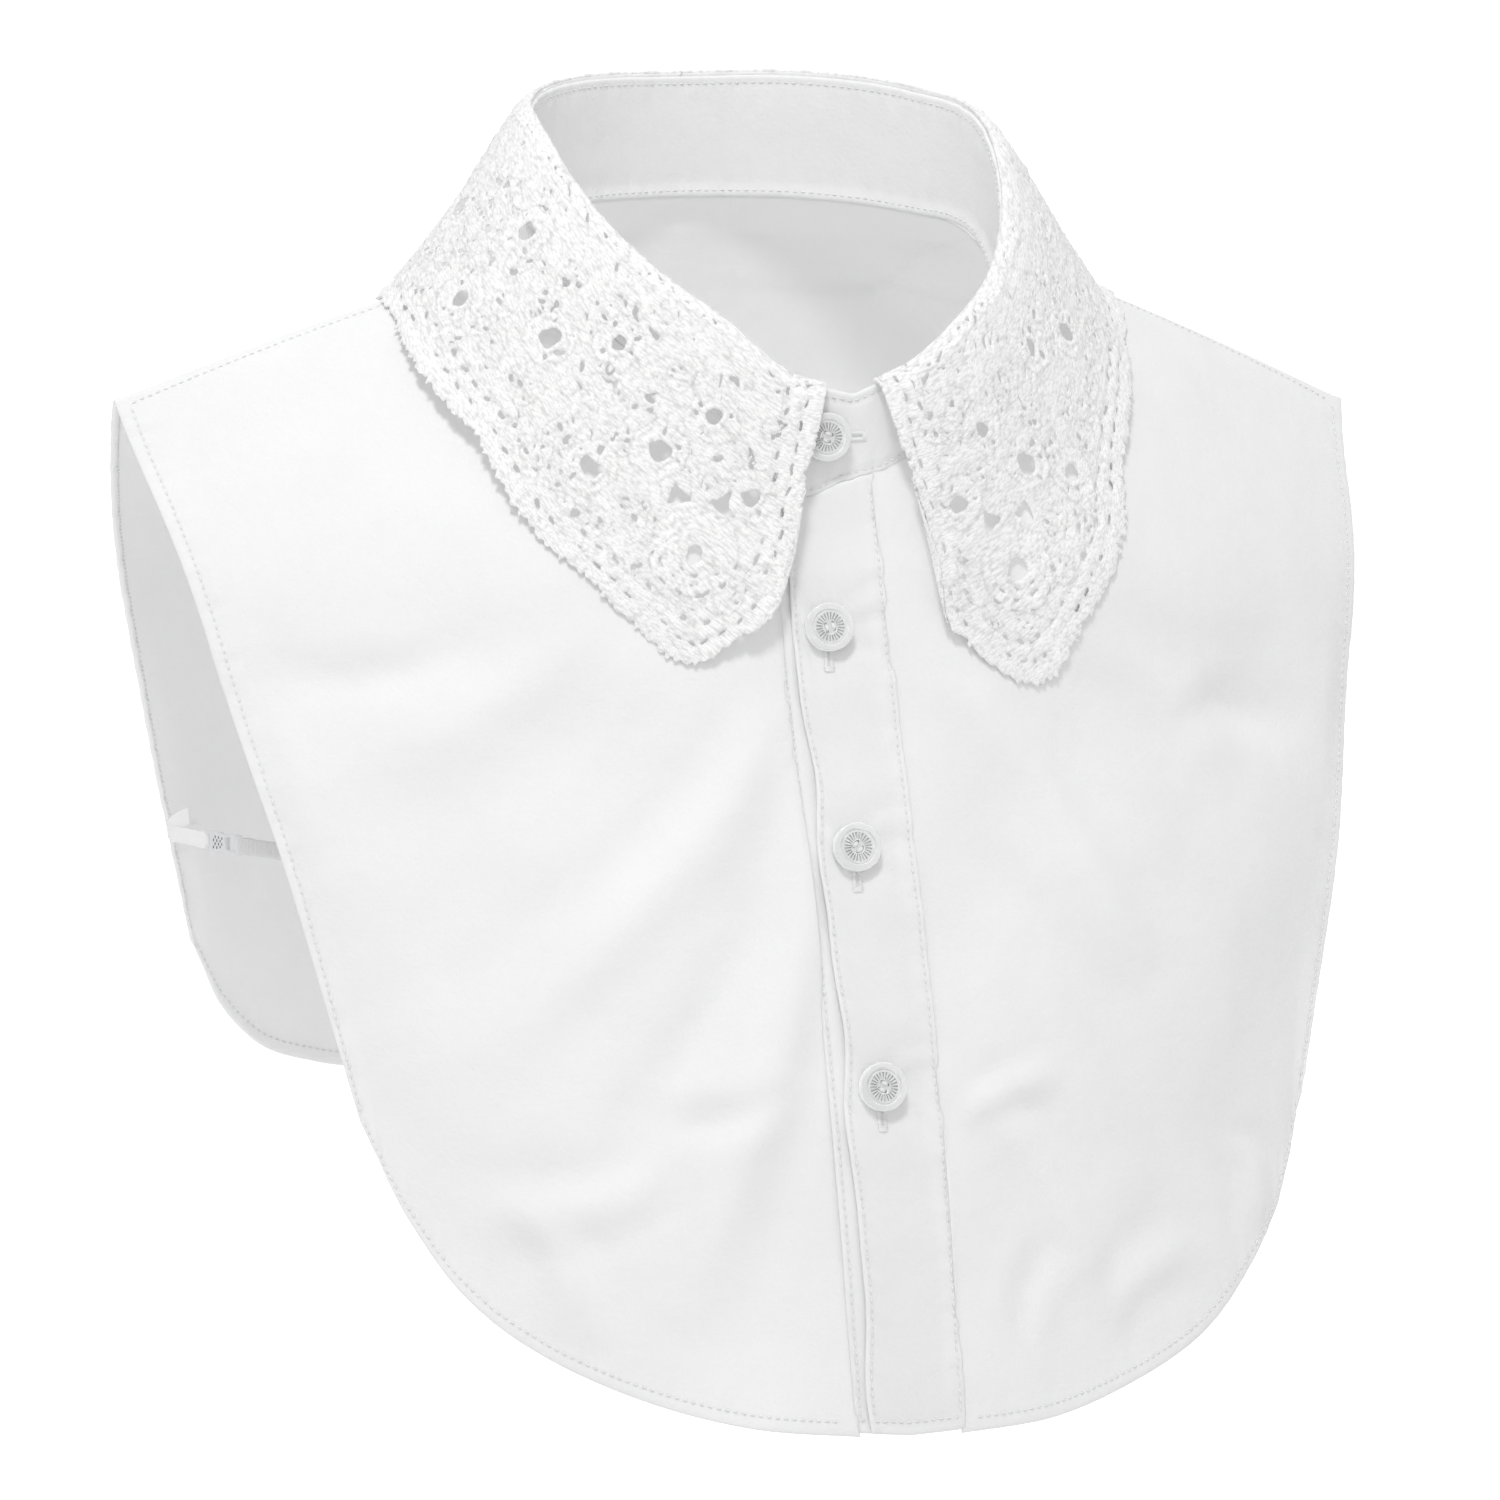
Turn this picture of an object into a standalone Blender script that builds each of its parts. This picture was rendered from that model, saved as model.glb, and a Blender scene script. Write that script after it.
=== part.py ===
"""A lace-collared dickey, filled out as worn: two fronts, a back, a stand, a lace collar and side straps.

X runs to the wearer's left, the front faces -Y and Z is up. The origin is the centre of the neck,
level with the middle of the neckline. Sizes in this file are millimetres.
"""

import math

import bmesh
import bpy
import numpy as np
from mathutils import Vector
from mathutils.bvhtree import BVHTree

MILLIMETRE = 0.001

# Cloth walls and seams
WALL = 1.2
SEAM_GAP = 0.3
LAYER = WALL + SEAM_GAP

# Shoulder line, from the side of the neck to the shoulder's tip
NECK_CENTRE_X = -4.0
NECK_HALF_WIDTH = 59.0
NECK_HALF_DEPTH = 59.0
SHOULDER_NECK_Y = 5.0
SHOULDER_NECK_Z = 22.0
SHOULDER_TIP_X = 166.5
SHOULDER_TIP_Y = 22.0
SHOULDER_TIP_Z = -18.0
SHOULDER_CROWN = 1.2

# The body form's depth at the centre line and at the side edge, by the drop below the origin
# Columns: drop, centre y, side x, side y
FRONT_FORM = [
    (-50, -50, 175, 34),
    (19, -59, 165, 12),
    (43, -63, 160, -4),
    (88, -72, 148.5, -22),
    (126, -82, 140, -39),
    (163, -90, 132, -48),
    (200, -97, 121, -58),
    (262, -105, 104, -75),
]
BACK_FORM = [
    (-50, 54, 175, 36),
    (19, 73, 165, 42),
    (39, 77, 162, 46),
    (68, 83, 156, 50),
    (95, 86, 150, 54),
    (111, 87.5, 145.5, 57),
    (137, 88, 137, 61),
    (168, 88, 124, 67),
    (200, 86, 112, 72),
]
FORM_ROUNDNESS = 2.2

# How far the form takes to turn from the shoulder's top to the upright, by distance from the centre
# Columns: x, front, back
SHOULDER_TURN = [
    (0, 80, 22),
    (59, 80, 22),
    (110, 74, 45),
    (165, 60, 60),
]
TURN_POWER = 0.75

# Side edge and hem of each panel, from the centre of the hem up to the corner where the side begins
# Columns: share of the hem, x, drop
FRONT_HEM = [
    (0.0, 0, 260.5),
    (0.14, 30, 258),
    (0.30, 60, 251),
    (0.46, 85, 240.5),
    (0.61, 101, 228.5),
    (0.78, 114, 211),
    (1.0, 125.5, 187),
]
BACK_HEM = [
    (0.0, 0, 196),
    (0.3, 50, 195),
    (0.6, 92, 191),
    (0.78, 110, 184),
    (0.88, 120, 174),
    (1.0, 129, 158),
]
SIDE_BULGE = 0.8
SEAM_DEGREES = 94.0

# Neckline and collar fold around the neck
# Columns: degrees from the centre front, neckline z, fold z
NECK_RING = [
    (0, -32.5, -9.8),
    (15, -26.5, -3.5),
    (30, -17, 6.5),
    (45, -8, 15.5),
    (60, 1.5, 26),
    (75, 12, 38),
    (90, 21, 49),
    (120, 26.5, 57),
    (150, 30, 61),
    (180, 31.5, 62),
]
NECK_LEAN = 3.5
CLOSURE_DIP = 3.0
CLOSURE_DIP_DEGREES = -16.0
CLOSURE_DIP_SPREAD = 12.0

# Front closure: the wearer's left band lies over the right one
CLOSURE_TOP_X = -11.5
CLOSURE_HEM_X = 1.0
CLOSURE_TOP_DROP = 30.0
CLOSURE_HEM_DROP = 262.0
OVER_BAND_FREE_EDGE = -11.5
OVER_BAND_SEAM = 12.5
UNDER_BAND_SEAM = -14.5
UNDER_BAND_FREE_EDGE = 9.0
CLOSURE_FADE = 34.0

# Collar stand ends, in degrees from the centre front towards the wearer's left
STAND_OVER_END = -21.0
STAND_UNDER_END = 359.0
STAND_FADE_DEGREES = 36.0
STAND_SEAM_GAPS = 3
STAND_STATIONS = 65

# Outer edge of each collar leaf, from its front corner to the centre back
# Columns: share of the leaf, degrees of the fold that it hangs from, x, y, z
RIGHT_LEAF_EDGE = [
    (0.0, 8.0, -22.5, -70, -48),
    (0.04, 14.0, -27.5, -71, -61),
    (0.10, 25.0, -43.5, -68, -73.5),
    (0.20, 36.0, -61, -61, -64),
    (0.31, 49.0, -80, -50, -45),
    (0.42, 63.0, -92, -35, -23),
    (0.53, 79.0, -101, -10, -2),
    (0.62, 94.0, -99, 16, 9),
    (0.72, 113.0, -86, 40, 4),
    (0.83, 137.0, -58, 57, 4),
    (0.92, 158.0, -28, 67, 7),
    (1.0, 179.85, -0.15, 70, 8),
]
LEFT_LEAF_EDGE = [
    (0.0, 6.0, 15.5, -70, -50),
    (0.04, 12.0, 18.5, -71, -65),
    (0.10, 22.0, 39, -69, -79),
    (0.20, 33.0, 56.5, -62, -69),
    (0.31, 48.0, 70.5, -52, -47),
    (0.42, 63.0, 80, -36, -20),
    (0.53, 79.0, 91, -9, -1),
    (0.62, 94.0, 93, 16, 11),
    (0.72, 113.0, 84, 40, 4),
    (0.83, 137.0, 58, 57, 4),
    (0.92, 158.0, 28, 67, 7),
    (1.0, 179.85, 0.15, 70, 8),
]
LEAF_STATIONS = 53
LEAF_ROWS = 11
LEAF_CLEARANCE = 3.3
CLEARING_PASSES = 4
FOLD_HANDLE = 6.0
FOLD_RISE = 1.0
FOLD_ROW = 1.6
FOLD_GAPS = 2
FALL_HANDLE = 0.62
SCALLOP_DEPTH = 2.2
SCALLOPS = 7

# Round holes in the lace wider than 4 mm
# Columns: station, row, radius
LEAF_HOLES = [
    (4, 5, 2.2),
    (7, 3, 2.2),
    (7, 7, 2.4),
    (11, 5, 2.8),
    (15, 7, 2.4),
    (16, 3, 2.2),
    (21, 5, 2.5),
    (26, 3, 2.2),
    (27, 7, 2.4),
    (32, 5, 2.8),
    (37, 3, 2.2),
    (38, 7, 2.4),
    (43, 5, 2.5),
    (48, 3, 2.2),
    (48, 7, 2.4),
]

# Buttons: clear four-hole discs
BUTTON_RADIUS = 6.0
BUTTON_THICKNESS = 2.6
BUTTON_RIM = 1.1
BUTTON_DISH = 0.7
BUTTON_SIDES = 24
BUTTON_GAP = 0.4
BUTTON_DROPS = {"button_upper": 67.0, "button_middle": 119.5, "button_lower": 176.5}
BUTTON_OFFSET = -2.6
NECK_BUTTON_X = -11.0
NECK_BUTTON_DROP = 20.5

# Side straps with a hook, from the back edge to the front edge under each arm
STRAP_BACK_DROP = 129.5
STRAP_FRONT_DROP = 123.3
STRAP_WIDTH = 4.0
STRAP_THICKNESS = 1.0
STRAP_SEAT = 9.0
STRAP_INSET = 2.1
STRAP_EDGE_MARGIN = 2.0
STRAP_BOW = 1.5
TAPE_SHARE = 0.36
HOOK_SHARE = 0.30
HOOK_PLATE = 1.6
HOOK_WIDTH = 5.2


def smooth(rows, column, at):
    """One column of a table, read on a smooth curve over its first column."""
    key = np.array([row[0] for row in rows], float)
    value = np.array([row[column] for row in rows], float)
    slope = np.gradient(value, key)
    at = np.clip(np.asarray(at, float), key[0], key[-1])
    i = np.clip(np.searchsorted(key, at, side="right") - 1, 0, len(key) - 2)
    step = key[i + 1] - key[i]
    u = (at - key[i]) / step
    start = (1 + 2 * u) * (1 - u) ** 2 * value[i] + u * (1 - u) ** 2 * step * slope[i]
    end = u * u * (3 - 2 * u) * value[i + 1] + u * u * (u - 1) * step * slope[i + 1]
    return start + end


def ease(value):
    """A smooth step from 0 to 1."""
    value = np.clip(value, 0.0, 1.0)
    return value * value * (3 - 2 * value)


def shoulder(x):
    """Y and Z of the top of the shoulder at a distance from the centre line."""
    share = (np.abs(x) - NECK_HALF_WIDTH) / (SHOULDER_TIP_X - NECK_HALF_WIDTH)
    y = SHOULDER_NECK_Y + (SHOULDER_TIP_Y - SHOULDER_NECK_Y) * share
    z = SHOULDER_NECK_Z + (SHOULDER_TIP_Z - SHOULDER_NECK_Z) * share
    return y, z + SHOULDER_CROWN * np.sin(np.pi * np.clip(share, 0, 1))


def form_y(x, z, face):
    """Depth of the body form on one face, 'front' or 'back'."""
    rows = FRONT_FORM if face == "front" else BACK_FORM
    centre = smooth(rows, 1, -z)
    side_x = smooth(rows, 2, -z)
    side_y = smooth(rows, 3, -z)
    upright = centre + (side_y - centre) * (np.abs(x) / side_x) ** FORM_ROUNDNESS
    top_y, top_z = shoulder(x)
    turn = smooth(SHOULDER_TURN, 1 if face == "front" else 2, np.abs(x))
    fall = np.clip((top_z - z) / turn, 0.0, 1.0)
    return top_y + (upright - top_y) * (1 - (1 - fall) ** 2) ** TURN_POWER


def form_z(x, y, face):
    """Height of the body form above a place in plan."""
    high = shoulder(x)[1]
    low = high - smooth(SHOULDER_TURN, 1 if face == "front" else 2, np.abs(x))
    for _ in range(30):
        middle = (low + high) / 2
        depth = form_y(x, middle, face)
        inside = depth > y if face == "front" else depth < y
        high = np.where(inside, middle, high)
        low = np.where(inside, low, middle)
    return (low + high) / 2


def neck_point(degrees, column):
    """A point of the neck ring: column 1 is the neckline, column 2 the collar's fold."""
    turn = np.radians(degrees)
    signed = (np.asarray(degrees, float) + 180) % 360 - 180
    z = smooth(NECK_RING, column, np.abs(signed))
    z = z + NECK_LEAN * np.clip(np.sin(turn), 0, 1) * ease((signed - 50) / 60)
    z = z - CLOSURE_DIP * np.exp(-((signed - CLOSURE_DIP_DEGREES) / CLOSURE_DIP_SPREAD) ** 2)
    x = NECK_CENTRE_X + NECK_HALF_WIDTH * np.sin(turn)
    return np.stack([x, -NECK_HALF_DEPTH * np.cos(turn), z], -1)


def neck_degrees(x):
    """The turn from the centre front at which the neck's front reaches a place."""
    return np.degrees(np.arcsin((np.asarray(x, float) - NECK_CENTRE_X) / NECK_HALF_WIDTH))


def closure_x(z):
    """The line through the buttons."""
    share = (-z - CLOSURE_TOP_DROP) / (CLOSURE_HEM_DROP - CLOSURE_TOP_DROP)
    return CLOSURE_TOP_X + (CLOSURE_HEM_X - CLOSURE_TOP_X) * share


def surface_normals(grid, mitred=False):
    """Unit normals of a grid of points; a mitred one stands upright along the shoulder seam."""
    along = np.gradient(grid, axis=0)
    across = np.gradient(grid, axis=1)
    normal = np.cross(along, across)
    if mitred:
        seam = np.abs(grid[0, :, 0]) > NECK_HALF_WIDTH - 1.0
        normal[0, seam, 1] = 0.0
    return normal / np.linalg.norm(normal, axis=2, keepdims=True)


def panel_grid(face, start_offset, side, columns, rows):
    """Middle surface of a panel, from a line beside the closure to the side edge.

    The rows run from the neckline and shoulder down to the hem and the side's corner.
    """
    hem = FRONT_HEM if face == "front" else BACK_HEM
    neck_columns = round(columns * 0.42)
    if face == "back":
        neck = neck_point(side * np.linspace(180.0, SEAM_DEGREES, neck_columns), 1)
    else:
        neck = neck_point(np.linspace(neck_degrees(start_offset(0)), side * SEAM_DEGREES, neck_columns), 1)
    form_top = neck.copy()
    form_top[:, 2] = form_z(neck[:, 0], neck[:, 1], face)
    shoulder_x = side * np.linspace(abs(neck[-1, 0]), SHOULDER_TIP_X, columns - neck_columns + 1)[1:]
    shoulder_y, shoulder_z = shoulder(shoulder_x)
    ridge = np.stack([shoulder_x, shoulder_y, shoulder_z], -1)
    neck[-1, 1:] = form_top[-1, 1:] = shoulder(neck[-1, 0])
    top = np.concatenate([neck, ridge])
    flat_top = np.concatenate([form_top, ridge])

    share = np.linspace(0, 1, columns)
    hem_x = side * smooth(hem, 1, share)
    hem_z = -smooth(hem, 2, share)
    start_hem = start_offset(1)
    hem_x = start_hem + hem_x * (hem_x[-1] - start_hem) / hem_x[-1]

    down = np.linspace(0, 1, rows)[:, None]
    fall = down ** 1.5
    x = flat_top[:, 0] + (hem_x - flat_top[:, 0]) * fall
    x = x + side * SIDE_BULGE * np.sin(np.pi * fall) * share ** 2
    z = flat_top[:, 2] + (hem_z - flat_top[:, 2]) * fall
    z = np.minimum(z, shoulder(x)[1])
    y = form_y(x, z, face)
    y = np.where(down == 0, flat_top[:, 1], y)
    grid = np.stack([x, y, z], -1)
    return grid + (top - flat_top) * ((1 - down) ** 4)[:, :, None]


def closure_lift(x, z):
    """How far the wearer's left front stands out, so that it lies over the right one."""
    return LAYER * (1 - ease((x - closure_x(z) - OVER_BAND_SEAM) / CLOSURE_FADE))


def band_grid(near, far, columns, rows):
    """Middle surface of a button band between two distances from the button line."""
    offsets = np.linspace(near, far, columns)
    top_x = CLOSURE_TOP_X + offsets
    top = neck_point(neck_degrees(top_x), 1)
    hem_x = CLOSURE_HEM_X + offsets
    hem_z = -smooth(FRONT_HEM, 2, np.interp(np.abs(hem_x), [row[1] for row in FRONT_HEM],
                                            [row[0] for row in FRONT_HEM]))
    down = np.linspace(0, 1, rows)[:, None]
    x = top[:, 0] + (hem_x - top[:, 0]) * down
    z = top[:, 2] + (hem_z - top[:, 2]) * down
    y = form_y(x, z, "front")
    grid = np.stack([x, y, z], -1)
    return grid + (top - grid[0]) * ((1 - down) ** 4)[:, :, None]


def offset(grid, distance, mitred=False):
    """A grid moved along its normals."""
    return grid + surface_normals(grid, mitred) * np.asarray(distance)[..., None]


def outward(grid, centre=(0.0, 0.0, -60.0)):
    """The grid with its columns turned where its normals point at the centre."""
    normal = surface_normals(grid)
    facing = ((grid - np.array(centre)) * normal).sum()
    return grid if facing > 0 else grid[:, ::-1]


def add_mesh(name, vertices, faces, colour, roughness, alpha=1.0):
    """A closed object in metres with its own material."""
    mesh = bpy.data.meshes.new(name)
    mesh.from_pydata([Vector(vertex) * MILLIMETRE for vertex in vertices], [], faces)
    work = bmesh.new()
    work.from_mesh(mesh)
    bmesh.ops.recalc_face_normals(work, faces=work.faces)
    if work.calc_volume(signed=True) < 0:
        bmesh.ops.reverse_faces(work, faces=work.faces)
    work.to_mesh(mesh)
    work.free()
    mesh.shade_smooth()
    mesh.set_sharp_from_angle(angle=math.radians(40))
    material = bpy.data.materials.new(name)
    material.use_nodes = True
    shader = material.node_tree.nodes["Principled BSDF"]
    shader.inputs["Base Color"].default_value = (*colour, 1.0)
    shader.inputs["Roughness"].default_value = roughness
    shader.inputs["Metallic"].default_value = 0.0
    shader.inputs["Alpha"].default_value = alpha
    mesh.materials.append(material)
    piece = bpy.data.objects.new(name, mesh)
    bpy.context.scene.collection.objects.link(piece)
    return piece


def wall_mesh(name, grid, colour, roughness, thickness=WALL, kept=None, mitred=False):
    """A wall of even thickness about a grid of points, with cells left out where kept is false."""
    rows, columns = grid.shape[:2]
    if kept is None:
        kept = np.ones((rows - 1, columns - 1), bool)
    outer = offset(grid, np.full((rows, columns), thickness / 2), mitred)
    inner = offset(grid, np.full((rows, columns), -thickness / 2), mitred)
    used = np.zeros((rows, columns), bool)
    for corner in ((0, 0), (0, 1), (1, 0), (1, 1)):
        used[corner[0]:rows - 1 + corner[0], corner[1]:columns - 1 + corner[1]] |= kept
    index = np.full((rows, columns), -1)
    index[used] = np.arange(used.sum())
    count = int(used.sum())
    vertices = [tuple(point) for point in outer[used]] + [tuple(point) for point in inner[used]]
    faces = []
    rims = {}
    for row, column in zip(*np.nonzero(kept)):
        ring = [index[row, column], index[row, column + 1], index[row + 1, column + 1], index[row + 1, column]]
        ring = [int(corner) for corner in ring]
        faces.append(ring)
        faces.append([corner + count for corner in reversed(ring)])
        for first, second in zip(ring, ring[1:] + ring[:1]):
            if (second, first) in rims:
                del rims[(second, first)]
            else:
                rims[(first, second)] = True
    for first, second in rims:
        faces.append([second, first, first + count, second + count])
    return add_mesh(name, vertices, faces, colour, roughness)


def build_panels(cloth, cloth_roughness):
    """The two fronts, their button bands and the back."""
    left = panel_grid("front", lambda end: (CLOSURE_HEM_X if end else CLOSURE_TOP_X) + OVER_BAND_SEAM + SEAM_GAP / 2,
                      1, 19, 19)
    right = panel_grid("front", lambda end: (CLOSURE_HEM_X if end else CLOSURE_TOP_X) + UNDER_BAND_SEAM - SEAM_GAP / 2,
                       -1, 19, 19)
    left = outward(left)
    left = offset(left, closure_lift(left[..., 0], left[..., 2]))
    right = outward(right)
    over = outward(band_grid(OVER_BAND_FREE_EDGE, OVER_BAND_SEAM - SEAM_GAP / 2, 5, 19))
    over = offset(over, np.full(over.shape[:2], LAYER))
    under = outward(band_grid(UNDER_BAND_SEAM + SEAM_GAP / 2, UNDER_BAND_FREE_EDGE, 5, 19))
    back_right = panel_grid("back", lambda end: 0.0, -1, 17, 17)
    back_left = panel_grid("back", lambda end: 0.0, 1, 17, 17)
    back = outward(np.concatenate([back_right[:, ::-1], back_left[:, 1:]], axis=1))
    for sheet, push in ((left, -1), (right, -1), (back, 1)):
        sheet[0, :, 1] += push * SEAM_GAP / 2
    wall_mesh("front_left", left, cloth, cloth_roughness, mitred=True)
    wall_mesh("front_right", right, cloth, cloth_roughness, mitred=True)
    wall_mesh("placket_left", over, cloth, cloth_roughness)
    wall_mesh("placket_right", under, cloth, cloth_roughness)
    wall_mesh("back", back, cloth, cloth_roughness, mitred=True)
    return left, right, back, over


def neck_radial(degrees):
    """The level direction out of the neck."""
    turn = np.radians(degrees)
    return np.stack([np.sin(turn), -np.cos(turn), np.zeros_like(turn)], -1)


def stand_point(degrees, share):
    """A point of the collar stand's middle surface, from its seam (0) to its top (1)."""
    degrees = np.asarray(degrees, float)
    base = neck_point(degrees, 1)
    top = neck_point(degrees, 2)
    base[..., 2] += WALL / 2 + STAND_SEAM_GAPS * SEAM_GAP
    point = base + (top - base) * np.asarray(share)[..., None]
    lift = LAYER * (1 - ease(degrees / STAND_FADE_DEGREES))
    return point + neck_radial(degrees) * lift[..., None]


def build_stand(cloth, cloth_roughness):
    """The stand's strip, from its over end round the neck to its under end."""
    degrees, share = np.meshgrid(np.linspace(STAND_OVER_END, STAND_UNDER_END, STAND_STATIONS), np.linspace(0, 1, 4))
    grid = stand_point(degrees, share)
    return wall_mesh("collar_stand", outward(grid, (0, 0, 20)), cloth, cloth_roughness)


def leaf_grid(edge_rows, side, stations, rows, body):
    """Middle surface of a collar leaf: a row of sections that roll over the fold and fall to the edge."""
    along = np.linspace(0, 1, stations)
    degrees = smooth(edge_rows, 1, along)
    radial = neck_radial(side * degrees)
    lift = LAYER * (1 - ease((degrees + STAND_OVER_END) / STAND_FADE_DEGREES))
    fold = neck_point(side * degrees, 2) + radial * lift[:, None]
    fold[:, 2] += WALL / 2 + FOLD_GAPS * SEAM_GAP
    edge = np.stack([smooth(edge_rows, column, along) for column in (2, 3, 4)], -1)
    fall = edge - fold
    length = np.linalg.norm(fall, axis=1, keepdims=True)
    scallop = SCALLOP_DEPTH * np.abs(np.sin(np.pi * SCALLOPS * along))[:, None]
    edge = edge + fall / length * (scallop - SCALLOP_DEPTH / 2)
    near = fold + radial * FOLD_HANDLE + np.array([0.0, 0.0, FOLD_RISE])
    far = edge - fall * FALL_HANDLE
    steps = np.linspace(0, 1, 49)[:, None, None]
    curve = ((1 - steps) ** 3 * fold + 3 * (1 - steps) ** 2 * steps * near
             + 3 * (1 - steps) * steps ** 2 * far + steps ** 3 * edge)
    travelled = np.concatenate([np.zeros((1, stations)),
                                np.cumsum(np.linalg.norm(np.diff(curve, axis=0), axis=2), axis=0)])
    grid = np.zeros((rows, stations, 3))
    for station in range(stations):
        reach = np.linspace(0, travelled[-1, station], rows)
        reach[1] = FOLD_ROW
        for axis in range(3):
            grid[:, station, axis] = np.interp(reach, travelled[:, station], curve[:, station, axis])
    return clear_of(grid, body, LEAF_CLEARANCE)


def clear_of(grid, body, clearance):
    """The grid with every point at least the clearance outside the body form."""
    moved = grid.copy()
    for row in range(grid.shape[0]):
        for column in range(grid.shape[1]):
            point = Vector(grid[row, column])
            for _ in range(CLEARING_PASSES):
                place, normal, _, _ = body.find_nearest(point)
                gap = (point - place).dot(normal)
                if gap < clearance:
                    point = point + normal * (clearance - gap)
            moved[row, column] = point
    return moved


def body_tree(sheets):
    """A search tree of the panels' middle surfaces."""
    vertices = []
    faces = []
    for sheet in sheets:
        rows, columns = sheet.shape[:2]
        start = len(vertices)
        vertices.extend(Vector(point) for point in sheet.reshape(-1, 3))
        for row in range(rows - 1):
            for column in range(columns - 1):
                corner = start + row * columns + column
                faces.append((corner, corner + columns, corner + columns + 1, corner + 1))
    tree = BVHTree.FromPolygons(vertices, faces)
    return tree


def round_hole(grid, kept, row, station, radius):
    """Cut an eight-sided hole about one point of the grid."""
    kept[row - 1:row + 1, station - 1:station + 1] = False
    centre = grid[row, station].copy()
    across = grid[row, station + 1] - grid[row, station - 1]
    down = grid[row + 1, station] - grid[row - 1, station]
    across /= np.linalg.norm(across)
    down -= across * across.dot(down)
    down /= np.linalg.norm(down)
    for step_row in (-1, 0, 1):
        for step in (-1, 0, 1):
            if step_row or step:
                way = (across * step + down * step_row) / math.hypot(step, step_row)
                grid[row + step_row, station + step] = centre + way * radius


def build_collar(lace, lace_roughness, body):
    """The two leaves of the lace collar, which meet at the centre back."""
    for name, rows, side in (("lace_collar_right", RIGHT_LEAF_EDGE, -1), ("lace_collar_left", LEFT_LEAF_EDGE, 1)):
        grid = leaf_grid(rows, side, LEAF_STATIONS, LEAF_ROWS, body)
        kept = np.ones((LEAF_ROWS - 1, LEAF_STATIONS - 1), bool)
        for station, row, radius in LEAF_HOLES:
            round_hole(grid, kept, row, station, radius)
        if side < 0:
            grid = grid[:, ::-1]
            kept = kept[:, ::-1]
        wall_mesh(name, grid, lace, lace_roughness, WALL, kept)


def build_button(name, place, normal):
    """A turned disc with a raised rim and a dished middle, its back just clear of the cloth."""
    half = BUTTON_THICKNESS / 2
    profile = [
        (0.0, -half),
        (BUTTON_RADIUS - 0.9, -half),
        (BUTTON_RADIUS, -half + 0.8),
        (BUTTON_RADIUS, half - 0.7),
        (BUTTON_RADIUS - 0.5, half),
        (BUTTON_RADIUS - BUTTON_RIM, half),
        (BUTTON_RADIUS - BUTTON_RIM - 0.9, half - BUTTON_DISH),
        (0.0, half - BUTTON_DISH),
    ]
    normal = Vector(normal).normalized()
    across = normal.cross(Vector((0, 0, 1))).normalized()
    upward = across.cross(normal)
    centre = Vector(place) + normal * (WALL / 2 + BUTTON_GAP + half)
    vertices = [centre + normal * profile[0][1], centre + normal * profile[-1][1]]
    faces = []
    rings = []
    for radius, height in profile[1:-1]:
        ring = []
        for step in range(BUTTON_SIDES):
            turn = 2 * math.pi * step / BUTTON_SIDES
            ring.append(len(vertices))
            way = across * math.cos(turn) + upward * math.sin(turn)
            vertices.append(centre + way * radius + normal * height)
        rings.append(ring)
    for step in range(BUTTON_SIDES):
        following = (step + 1) % BUTTON_SIDES
        faces.append([0, rings[0][following], rings[0][step]])
        faces.append([1, rings[-1][step], rings[-1][following]])
        for lower, upper in zip(rings, rings[1:]):
            faces.append([lower[step], lower[following], upper[following], upper[step]])
    return add_mesh(name, vertices, faces, (0.86, 0.87, 0.88), 0.12, 0.6)


def build_buttons(over_band):
    """Three buttons on the over band and one on the stand."""
    band = body_tree([over_band])
    for name, drop in BUTTON_DROPS.items():
        before = Vector((closure_x(-drop) + BUTTON_OFFSET, -2 * SHOULDER_TIP_X, -drop))
        place, normal, _, _ = band.ray_cast(before, Vector((0, 1, 0)))
        build_button(name, place, normal)
    degrees = neck_degrees(NECK_BUTTON_X)
    base = stand_point(degrees, np.array(0.0))
    top = stand_point(degrees, np.array(1.0))
    share = (-NECK_BUTTON_DROP - base[2]) / (top[2] - base[2])
    build_button("button_neck", base + (top - base) * share, neck_radial(degrees))


def strap_route(side):
    """The strap's middle line and its outward normals, from inside the back edge to inside the front edge."""
    seats = []
    for face, rows, drop, shares in (("back", BACK_FORM, STRAP_BACK_DROP, (1.0, 0.5, 0.0)),
                                     ("front", FRONT_FORM, STRAP_FRONT_DROP, (0.0, 0.5, 1.0))):
        inward = (STRAP_INSET if face == "front" else -STRAP_INSET)
        for share in shares:
            x = smooth(rows, 2, drop) - STRAP_EDGE_MARGIN - STRAP_SEAT * share
            seats.append((side * x, form_y(x, -drop, face) + inward, -drop))
    seats = np.array(seats)
    shares = np.linspace(0.12, 0.88, 7)[:, None]
    middle = seats[2] + (seats[3] - seats[2]) * shares
    middle[:, :1] += side * STRAP_BOW * np.sin(np.pi * shares)
    return np.concatenate([seats[:3], middle, seats[3:]])


def ribbon(name, route, width, thickness, colour, roughness):
    """A flat band that stands on edge and follows a route."""
    rise = np.array([0.0, 0.0, width / 2])
    return wall_mesh(name, np.stack([route + rise, route - rise]), colour, roughness, thickness)


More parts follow.
